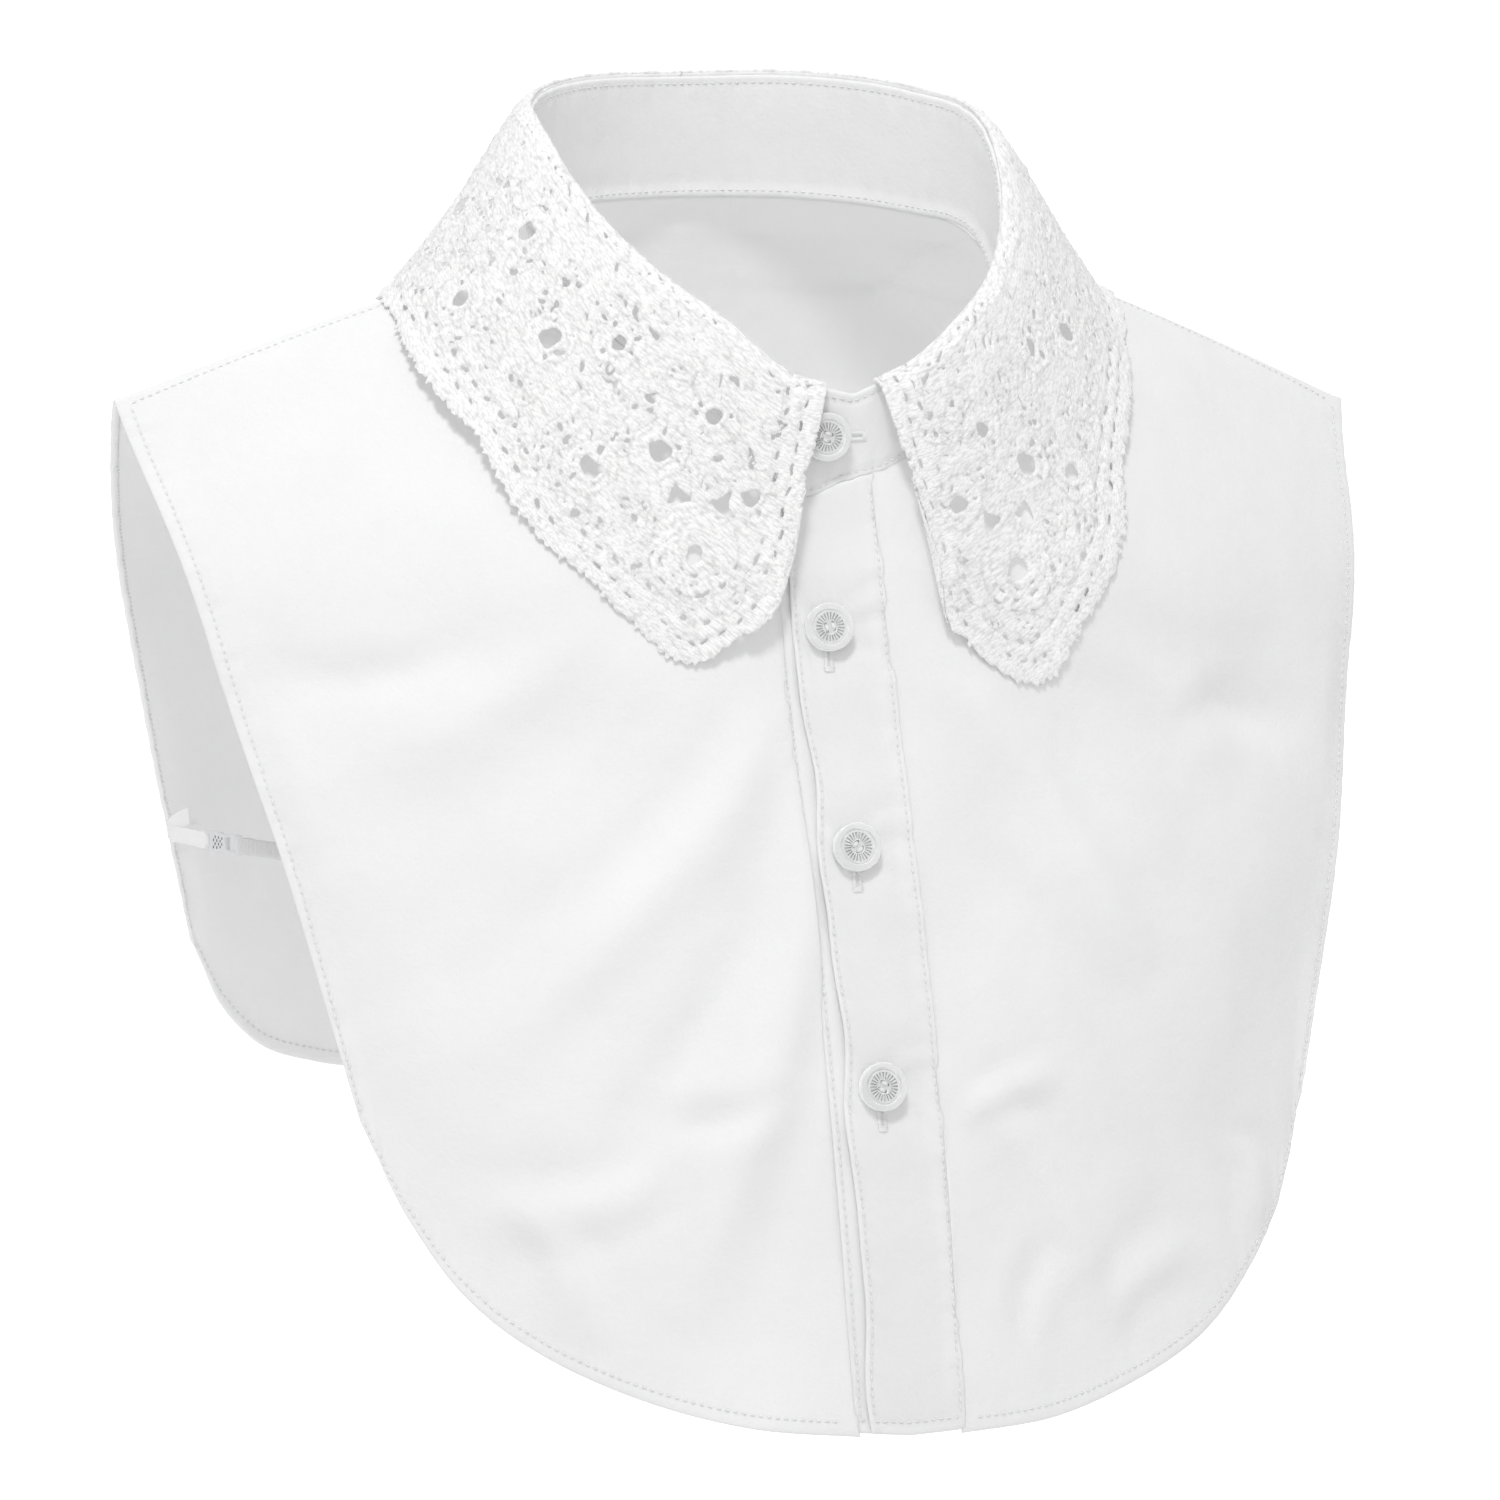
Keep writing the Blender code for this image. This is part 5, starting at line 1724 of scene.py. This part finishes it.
def strap_route(side):
    """The strap's middle line, from inside the back edge to inside the front edge."""
    seats = []
    for face, rows, drop, shares in (("back", BACK_FORM, STRAP_BACK_DROP, (1.0, 0.5, 0.0)),
                                     ("front", FRONT_FORM, STRAP_FRONT_DROP, (0.0, 0.5, 1.0))):
        inward = STRAP_INSET if face == "front" else -STRAP_INSET
        for share in shares:
            x = smooth(rows, 2, drop) - STRAP_EDGE_MARGIN - STRAP_SEAT * share
            seats.append((side * x, form_y(x, -drop, face) + inward, -drop))
    seats = np.array(seats)
    shares = np.linspace(0.12, 0.88, 7)[:, None]
    middle = seats[2] + (seats[3] - seats[2]) * shares
    middle[:, :1] += side * STRAP_BOW * np.sin(np.pi * shares)
    return np.concatenate([seats[:3], middle, seats[3:]])


RIBBON_WALL = 0.6
LOOP_RADIUS = 0.85
LOOP_RETURN = 7.0
RIB_PITCH = 1.5
TAB_LENGTH = 11.5
TAB_WIDTH = 4.6
HOOK_BAR = 3.0
# Near-black colour painted on the grip's shallow pits: painted shade of deep holes.
PIT_PAINTED_SHADE = (0.12, 0.12, 0.125)
ELASTIC_SHADE = 0.86


def looped(route, outwards, bar, towards):
    """A line that runs to a bar, turns round it on the outside and comes back on the inside."""
    turn = np.linspace(0, math.pi, 9)[:, None]
    bend = bar + outwards * LOOP_RADIUS * np.cos(turn) + towards * LOOP_RADIUS * np.sin(turn)
    back = bend[-1] - towards * np.linspace(0.6, LOOP_RETURN, 10)[:, None]
    lead = route.copy()
    share = ease(np.linspace(0, 1, len(lead)) * 4 - 3)[:, None]
    lead = lead + outwards * LOOP_RADIUS * share
    return np.concatenate([lead, bend, back + outwards * 0.15 * np.linspace(0, 1, 10)[:, None]])


def ribbon(name, route, width, pitch, ribs, side):
    """A narrow band that stands on edge along a route, woven plain or gathered into ribs."""
    reach = travelled(route, 0)
    count = int(reach[-1] / pitch)
    places = np.linspace(0, reach[-1], count)
    line = np.stack([np.interp(places, reach, route[:, axis]) for axis in range(3)], -1)
    for _ in range(3):
        line[1:-1] = (line[:-2] + 2 * line[1:-1] + line[2:]) / 4
    across = np.unique(np.concatenate([np.linspace(-1, 1, 9), [-0.93, 0.93, -0.97, 0.97]]))
    wave = 1.0 + (0.05 * np.sin(places * 2 * math.pi / RIB_PITCH) if ribs else 0.015 * np.sin(places * 2.1))
    grid = line[None] + np.array([0, 0, 1.0]) * (across[:, None] * width / 2 * wave[None, :])[..., None]
    if ribs:
        raised = 0.42 * np.sin(places * 2 * math.pi / RIB_PITCH)[None, :] * (1 - 0.5 * across[:, None] ** 4)
    else:
        raised = 0.06 * np.sin(places * 1.9)[None, :] + 0.07 * np.sin(across[:, None] * 14.0)
    if side < 0:
        grid, raised = grid[:, ::-1], raised[:, ::-1]
    piece, _, _ = cloth_wall(name, grid, RIBBON_WALL, raised, raised * 0.7)
    return piece


def hook_model(length):
    """A moulded hook at the origin along +X: dotted grip, two loop windows and a bent tip."""
    unit = MILLIMETRE
    columns, rows = 22, 6
    bpy.ops.object.select_all(action="DESELECT")
    bpy.ops.mesh.primitive_grid_add(x_subdivisions=columns, y_subdivisions=rows, size=1.0)
    piece = started("hook_model")
    bpy.ops.mesh.select_all(action="SELECT")
    bpy.ops.transform.resize(value=(length * unit, HOOK_WIDTH * unit, 1.0))
    bpy.ops.transform.translate(value=(length / 2 * unit, 0, 0))
    window = HOOK_WIDTH / 2 - 0.9

    def open_window(face):
        centre = face.calc_center_median() / unit
        first = HOOK_BAR - 1.6 < centre.x < HOOK_BAR + 1.4
        second = length * 0.56 < centre.x < length - HOOK_BAR
        return (first or second) and abs(centre.y) < window

    picked(piece, open_window)
    bpy.ops.mesh.delete(type="FACE")
    for low, high, scale in ((0.0, 0.06, 0.86), (0.40, 0.60, 0.84), (0.94, 1.0, 0.8)):
        picked(piece, lambda face: low * length <= face.calc_center_median().x / unit <= high * length)
        bpy.ops.transform.resize(value=(1, scale, 1))
    picked(piece, lambda face: face.calc_center_median().x / unit > length * 0.86)
    bpy.ops.transform.rotate(value=math.radians(14), orient_axis="Y",
                             center_override=(length * 0.86 * unit, 0, 0))
    bpy.ops.mesh.select_all(action="SELECT")
    bpy.ops.mesh.extrude_region_move(TRANSFORM_OT_translate={"value": (0, 0, HOOK_PLATE * unit)})
    bpy.ops.mesh.select_all(action="SELECT")
    bpy.ops.mesh.normals_make_consistent(inside=False)
    bpy.ops.transform.translate(value=(0, 0, -HOOK_PLATE / 2 * unit))

    def gripped(face):
        centre = face.calc_center_median() / unit
        column = int(centre.x / length * columns)
        row = int((centre.y / HOOK_WIDTH + 0.5) * rows)
        return (abs(face.normal.z) > 0.9 and 0.24 * length < centre.x < 0.5 * length
                and abs(centre.y) < window and (column + row) % 2 == 0)

    picked(piece, gripped)
    bpy.ops.mesh.inset(thickness=0.09 * unit, depth=-0.1 * unit, use_individual=True)
    # The pits are only 0.1 mm deep; their faces are marked here so that they can be painted near black as painted
    # shade.
    mesh = bmesh.from_edit_mesh(piece.data)
    pit = mesh.faces.layers.int.new("pit")
    for face in mesh.faces:
        face[pit] = int(face.select)
    bmesh.update_edit_mesh(piece.data)
    bpy.ops.mesh.select_mode(type="EDGE")
    bpy.ops.mesh.select_all(action="DESELECT")
    mesh = bmesh.from_edit_mesh(piece.data)
    for edge in mesh.edges:
        if len(edge.link_faces) == 2:
            outside = max(abs(vertex.co.z) for vertex in edge.verts) > (HOOK_PLATE / 2 - 0.01) * unit
            steep = min(abs(face.normal.z) for face in edge.link_faces) < 0.3
            flat = max(abs(face.normal.z) for face in edge.link_faces) > 0.9
            middle = sum((vertex.co for vertex in edge.verts), Vector()) / 2 / unit
            at_grip = 0.22 * length < middle.x < 0.52 * length and abs(middle.y) < window + 0.1
            edge.select_set(outside and steep and flat and not at_grip)
    bmesh.update_edit_mesh(piece.data)
    bpy.ops.mesh.bevel(offset=0.25 * unit, segments=2, affect="EDGES")
    return closed_up(piece, 45.0)


def moulded_material(name, colour):
    """Satin white nylon with a faint moulded grain."""
    made, nodes, links, shader = material(name, colour, 0.38)
    place = nodes.new("ShaderNodeTexCoord")
    grain = nodes.new("ShaderNodeTexNoise")
    grain.inputs["Scale"].default_value = 1500.0
    grain.inputs["Detail"].default_value = 3.0
    links.new(place.outputs["Object"], grain.inputs["Vector"])
    add_bump(nodes, links, shader, grain.outputs["Fac"], 0.00005, 0.5)
    varied_colour(nodes, links, shader, place.outputs["Object"], colour, 0.02, 250.0)
    return made


def strap_stretches(side):
    """The strap's route with the reach of its hook, and a function that reads places on it."""
    route = strap_route(side)
    reach = travelled(route, 0)
    span_start, span_end = reach[2], reach[-3]
    hook_start = span_start + (span_end - span_start) * TAPE_SHARE
    hook_end = hook_start + (span_end - span_start) * HOOK_SHARE

    def at(places):
        return np.stack([np.interp(places, reach, route[:, axis]) for axis in range(3)], -1)

    return reach[-1], hook_start, hook_end, at


def strap_pieces():
    """Tape with its loose tail, and ribbed elastic, looped round the bars of each hook."""
    white = tuple(bpy.context.scene.dickey_colours.thread)
    # The tape has the back cloth's painted glow.
    tape_made = shared("strap_tape", woven_material, white, 0.5, BACK_PAINTED_GLOW)
    elastic_made = shared("strap_elastic", woven_material, tuple(part * ELASTIC_SHADE for part in white), 0.5)
    for side, word in ((1, "left"), (-1, "right")):
        whole, hook_start, hook_end, at = strap_stretches(side)
        towards = at(np.array([hook_end]))[0] - at(np.array([hook_start]))[0]
        towards /= np.linalg.norm(towards)
        outwards = np.cross(towards, [0, 0, 1.0]) * side
        outwards *= side * np.sign(outwards[0])
        bar = at(np.array([hook_start + 0.9]))[0]
        lead = at(np.linspace(0.3, hook_start - 1.6, 30))
        route = looped(lead, outwards, bar, towards)
        piece = ribbon("strap_back_" + word + "_tape", route, STRAP_WIDTH, 0.5, False, side)
        dress(piece, tape_made, "elastic", "strap_back_" + word)
        bar = at(np.array([hook_end - 0.9]))[0]
        lead = at(np.linspace(whole - 0.3, hook_end + 1.6, 30))
        route = looped(lead, outwards, bar, -towards)
        piece = ribbon("strap_front_" + word + "_elastic", route, STRAP_WIDTH, 0.25, True, -side)
        dress(piece, elastic_made, "elastic", "strap_front_" + word)
        root = at(np.array([STRAP_SEAT + 1.0]))[0] + np.array([0, 0, STRAP_WIDTH * 0.35])
        way = np.array([-0.12 * side, -0.92, 0.36])
        way /= np.linalg.norm(way)
        steps = np.linspace(-2.0, TAB_LENGTH, 46)
        line = root + way * steps[:, None] + np.array([side * 0.5, 0, 0]) * np.sin(steps / 3.4)[:, None]
        rise = np.cross(way, [side * 1.0, 0, 0]) * -side
        rise *= np.sign(rise[2]) / np.linalg.norm(rise)
        across = np.linspace(-0.5, 0.5, 14) * TAB_WIDTH
        tab = line[None] + rise * across[:, None, None]
        raised = 0.04 * np.sin(steps * 9.0)[None, :] * np.ones((14, 1))
        piece, _, _ = cloth_wall("strap_tail_" + word, tab, 0.5, raised, raised)
        dress(piece, tape_made, "elastic")


def hook_pieces():
    """The moulded hook of each strap, with painted shade on the pits of its grip."""
    made = shared("hook_nylon", moulded_material, tuple(bpy.context.scene.dickey_colours.hook))
    deep = shared("hook_pits", moulded_material, PIT_PAINTED_SHADE)
    for side, word in ((1, "left"), (-1, "right")):
        _, hook_start, hook_end, at = strap_stretches(side)
        start, end = at(np.array([hook_start + SEAM_GAP / 2, hook_end - SEAM_GAP / 2]))
        along = Vector(end - start)
        length = along.length
        model = hook_model(length)
        along.normalize()
        upward = Vector((0, 0, 1))
        upward = (upward - along * along.dot(upward)).normalized()
        facing = along.cross(upward)
        piece = placed_copy(model, "hook_" + word + "_nylon", frame_matrix(start, along, upward, facing),
                            made, "hook", "hook_" + word)
        # The marked pit faces take the near-black material: painted shade.
        piece.data.materials.append(deep)
        for face, mark in zip(piece.data.polygons, piece.data.attributes["pit"].data):
            face.material_index = mark.value
        bpy.data.objects.remove(model, do_unlink=True)


CAMERA_AZIMUTH = -22.0
CAMERA_ELEVATION = 6.0
CAMERA_ROLL = 1.5
CAMERA_DISTANCE = 2500.0
CAMERA_TARGET = (-7.8, -8.6, -103.2)
CAMERA_LENS = 240.0
FLOOR_DROP = 330.0
FLOOR_REACH = 40.0


def camera_stage():
    """The camera at the photograph's angle."""
    azimuth, elevation, roll = (math.radians(part) for part in (CAMERA_AZIMUTH, CAMERA_ELEVATION, CAMERA_ROLL))
    back = Vector((math.sin(azimuth) * math.cos(elevation), -math.cos(azimuth) * math.cos(elevation),
                   math.sin(elevation)))
    level = Vector((math.cos(azimuth), math.sin(azimuth), 0.0))
    upright = back.cross(level)
    right = level * math.cos(roll) + upright * math.sin(roll)
    upright = back.cross(right)
    camera = bpy.data.cameras.new("camera")
    camera.lens = CAMERA_LENS
    camera.sensor_width = 36.0
    camera.clip_end = 100.0
    holder = bpy.data.objects.new("camera", camera)
    bpy.context.scene.collection.objects.link(holder)
    spot = (Vector(CAMERA_TARGET) + back * CAMERA_DISTANCE) * MILLIMETRE
    holder.matrix_world = Matrix.Translation(spot) @ Matrix((right, upright, back)).transposed().to_4x4()
    bpy.context.scene.camera = holder


def light(name, place, size, power, target=(0.0, 0.0, -0.1)):
    """A large soft area light that faces the object."""
    lamp = bpy.data.lights.new(name, "AREA")
    lamp.shape = "DISK"
    lamp.size = size
    lamp.energy = power
    holder = bpy.data.objects.new(name, lamp)
    bpy.context.scene.collection.objects.link(holder)
    holder.location = place
    holder.rotation_mode = "QUATERNION"
    holder.rotation_quaternion = (Vector(target) - Vector(place)).to_track_quat("-Z", "Y")


class DICKEY_OT_stage(bpy.types.Operator):
    """Add the camera, the pale floor and soft white light"""

    bl_idname = "dickey.stage"
    bl_label = "Stage"

    def execute(self, context):
        camera_stage()
        bpy.ops.object.select_all(action="DESELECT")
        bpy.ops.mesh.primitive_circle_add(vertices=64, radius=FLOOR_REACH, fill_type="NGON",
                                          location=(0, 0, -FLOOR_DROP * MILLIMETRE))
        floor = context.active_object
        floor.name = "floor"
        made, nodes, links, shader = material("pale_floor", (0.7, 0.7, 0.7), 0.9)
        shader.inputs["Emission Color"].default_value = (1, 1, 1, 1)
        shader.inputs["Specular IOR Level"].default_value = 0.0
        seen = nodes.new("ShaderNodeLightPath")
        glow = nodes.new("ShaderNodeMath")
        glow.operation = "MULTIPLY_ADD"
        glow.inputs[1].default_value = 0.6
        glow.inputs[2].default_value = 0.22
        links.new(seen.outputs["Is Camera Ray"], glow.inputs[0])
        links.new(glow.outputs[0], shader.inputs["Emission Strength"])
        floor.data.materials.append(made)
        world = bpy.data.worlds.new("studio")
        context.scene.world = world
        world.use_nodes = True
        tree = world.node_tree
        sky = tree.nodes["Background"]
        sky.inputs["Color"].default_value = (1, 1, 1, 1)
        sky.inputs["Strength"].default_value = 0.68
        seen = tree.nodes.new("ShaderNodeBackground")
        seen.inputs["Color"].default_value = (1, 1, 1, 1)
        seen.inputs["Strength"].default_value = 1.1
        path = tree.nodes.new("ShaderNodeLightPath")
        mix = tree.nodes.new("ShaderNodeMixShader")
        tree.links.new(path.outputs["Is Camera Ray"], mix.inputs["Fac"])
        tree.links.new(sky.outputs["Background"], mix.inputs[1])
        tree.links.new(seen.outputs["Background"], mix.inputs[2])
        tree.links.new(mix.outputs["Shader"], tree.nodes["World Output"].inputs["Surface"])
        light("key", (-0.6, -0.95, 1.7), 0.42, 18.3)
        context.scene.view_settings.view_transform = "Standard"
        return {"FINISHED"}


class DICKEY_OT_fronts(bpy.types.Operator):
    """Make the two fronts as thin hemmed cloth and sew them"""

    bl_idname = "dickey.fronts"
    bl_label = "Fronts"

    def execute(self, context):
        sizes = context.scene.dickey_sizes
        length = sizes.stitch_length / MILLIMETRE
        rows = []
        for outer, inner, side_edge, hem in front_pieces(sizes):
            rows += sewn_both(outer, inner, "last_row", hem - 0.7, length)
            rows += sewn_both(outer, inner, side_edge, hem - 0.7, length)
            point, up = line_along(outer, "first_row", 2.6, 3.0)
            shown = np.abs(point[:, 0] - NECK_CENTRE_X) > NECK_HALF_WIDTH + 4.0
            rows.append(stitch_line((point[shown], up[shown]), length))
        dress(joined("sewing_fronts", rows), sewing_material(), "cloth")
        return {"FINISHED"}


class DICKEY_OT_back(bpy.types.Operator):
    """Make the back as thin cloth with a sewn hem and overlocked sides"""

    bl_idname = "dickey.back"
    bl_label = "Back"

    def execute(self, context):
        sizes = context.scene.dickey_sizes
        outer, inner = back_piece(sizes)
        rows = sewn_both(outer, inner, "last_row", 3.5, sizes.stitch_length / MILLIMETRE)
        for face in (outer, inner):
            for edge in ("first_column", "last_column"):
                rows.append(overlock(face, edge, 2.5))
        dress(joined("sewing_back", rows), sewing_material(), "cloth")
        return {"FINISHED"}


class DICKEY_OT_bands(bpy.types.Operator):
    """Make the two button bands and topstitch them"""

    bl_idname = "dickey.bands"
    bl_label = "Button bands"

    def execute(self, context):
        sizes = context.scene.dickey_sizes
        length = sizes.stitch_length / MILLIMETRE
        rows = []
        for word, outer, inner in band_pieces(sizes):
            rows += sewn_both(outer, inner, "first_column", 1.7, length, 2.0)
            rows += sewn_both(outer, inner, "last_column", 1.7, length, 2.0)
            rows += sewn_both(outer, inner, "last_row", 3.4, length, 1.0)
            if word == "placket_left":
                tree = grid_tree(outer)
                for name in BUTTON_DROPS:
                    centre, across, upward, normal = button_places()[name]
                    top = centre + upward * (BUTTONHOLE_LENGTH - 6.0 - BUTTONHOLE_DROP)
                    rows.append(buttonhole(tree, top, top - upward * BUTTONHOLE_LENGTH))
        dress(joined("sewing_bands", rows), sewing_material(), "cloth")
        return {"FINISHED"}


class DICKEY_OT_stand(bpy.types.Operator):
    """Make the collar stand, topstitch it and work its buttonhole"""

    bl_idname = "dickey.stand"
    bl_label = "Collar stand"

    def execute(self, context):
        sizes = context.scene.dickey_sizes
        length = sizes.stitch_length / MILLIMETRE
        outer, inner = stand_piece(sizes)
        rows = sewn_both(outer, inner, "first_row", 2.0, length, 2.0)
        rows += sewn_both(outer, inner, "last_row", 2.0, length, 2.0)
        centre, across, upward, normal = button_places()["button_neck"]
        level = Vector((-across.x, -across.y, 0)) if across.x < 0 else Vector((across.x, across.y, 0))
        start = centre - level * 3.0
        rows.append(buttonhole(grid_tree(outer), start, start + level * 13.0))
        dress(joined("sewing_stand", rows), sewing_material(), "cloth")
        return {"FINISHED"}


class DICKEY_OT_lace(bpy.types.Operator):
    """Work the two leaves of the lace collar"""

    bl_idname = "dickey.lace"
    bl_label = "Lace collar"

    def execute(self, context):
        lace_pieces(context.scene.dickey_sizes)
        return {"FINISHED"}


class DICKEY_OT_buttons(bpy.types.Operator):
    """Model the clear button and place a copy at each buttonhole, sewn on"""

    bl_idname = "dickey.buttons"
    bl_label = "Buttons"

    def execute(self, context):
        button_pieces()
        return {"FINISHED"}


class DICKEY_OT_straps(bpy.types.Operator):
    """Make the tape and elastic of both side straps"""

    bl_idname = "dickey.straps"
    bl_label = "Side straps"

    def execute(self, context):
        strap_pieces()
        return {"FINISHED"}


class DICKEY_OT_hooks(bpy.types.Operator):
    """Model the moulded hook of both side straps"""

    bl_idname = "dickey.hooks"
    bl_label = "Hooks"

    def execute(self, context):
        hook_pieces()
        return {"FINISHED"}


class DICKEY_PT_panel(bpy.types.Panel):
    """Buttons that make each group of pieces"""

    bl_label = "Dickey"
    bl_space_type = "VIEW_3D"
    bl_region_type = "UI"
    bl_category = "Dickey"

    def draw(self, context):
        layout = self.layout
        for group in (context.scene.dickey_sizes, context.scene.dickey_colours):
            column = layout.column(align=True)
            for name in group.bl_rna.properties.keys():
                if name not in ("name", "rna_type"):
                    column.prop(group, name)
        for operator in OPERATORS:
            layout.operator(operator.bl_idname)


OPERATORS = (DICKEY_OT_stage, DICKEY_OT_fronts, DICKEY_OT_back, DICKEY_OT_bands, DICKEY_OT_stand,
             DICKEY_OT_lace, DICKEY_OT_buttons, DICKEY_OT_straps, DICKEY_OT_hooks)
CLASSES = (DickeySizes, DickeyColours, *OPERATORS, DICKEY_PT_panel)


def register():
    for one in CLASSES:
        bpy.utils.register_class(one)
    bpy.types.Scene.dickey_sizes = bpy.props.PointerProperty(type=DickeySizes)
    bpy.types.Scene.dickey_colours = bpy.props.PointerProperty(type=DickeyColours)


def unregister():
    del bpy.types.Scene.dickey_sizes
    del bpy.types.Scene.dickey_colours
    for one in reversed(CLASSES):
        bpy.utils.unregister_class(one)


def main():
    """Make every piece in order."""
    register()
    bpy.ops.dickey.stage()
    bpy.ops.dickey.fronts()
    bpy.ops.dickey.back()
    bpy.ops.dickey.bands()
    bpy.ops.dickey.stand()
    bpy.ops.dickey.lace()
    bpy.ops.dickey.buttons()
    bpy.ops.dickey.straps()
    bpy.ops.dickey.hooks()


if __name__ == "__main__":
    main()
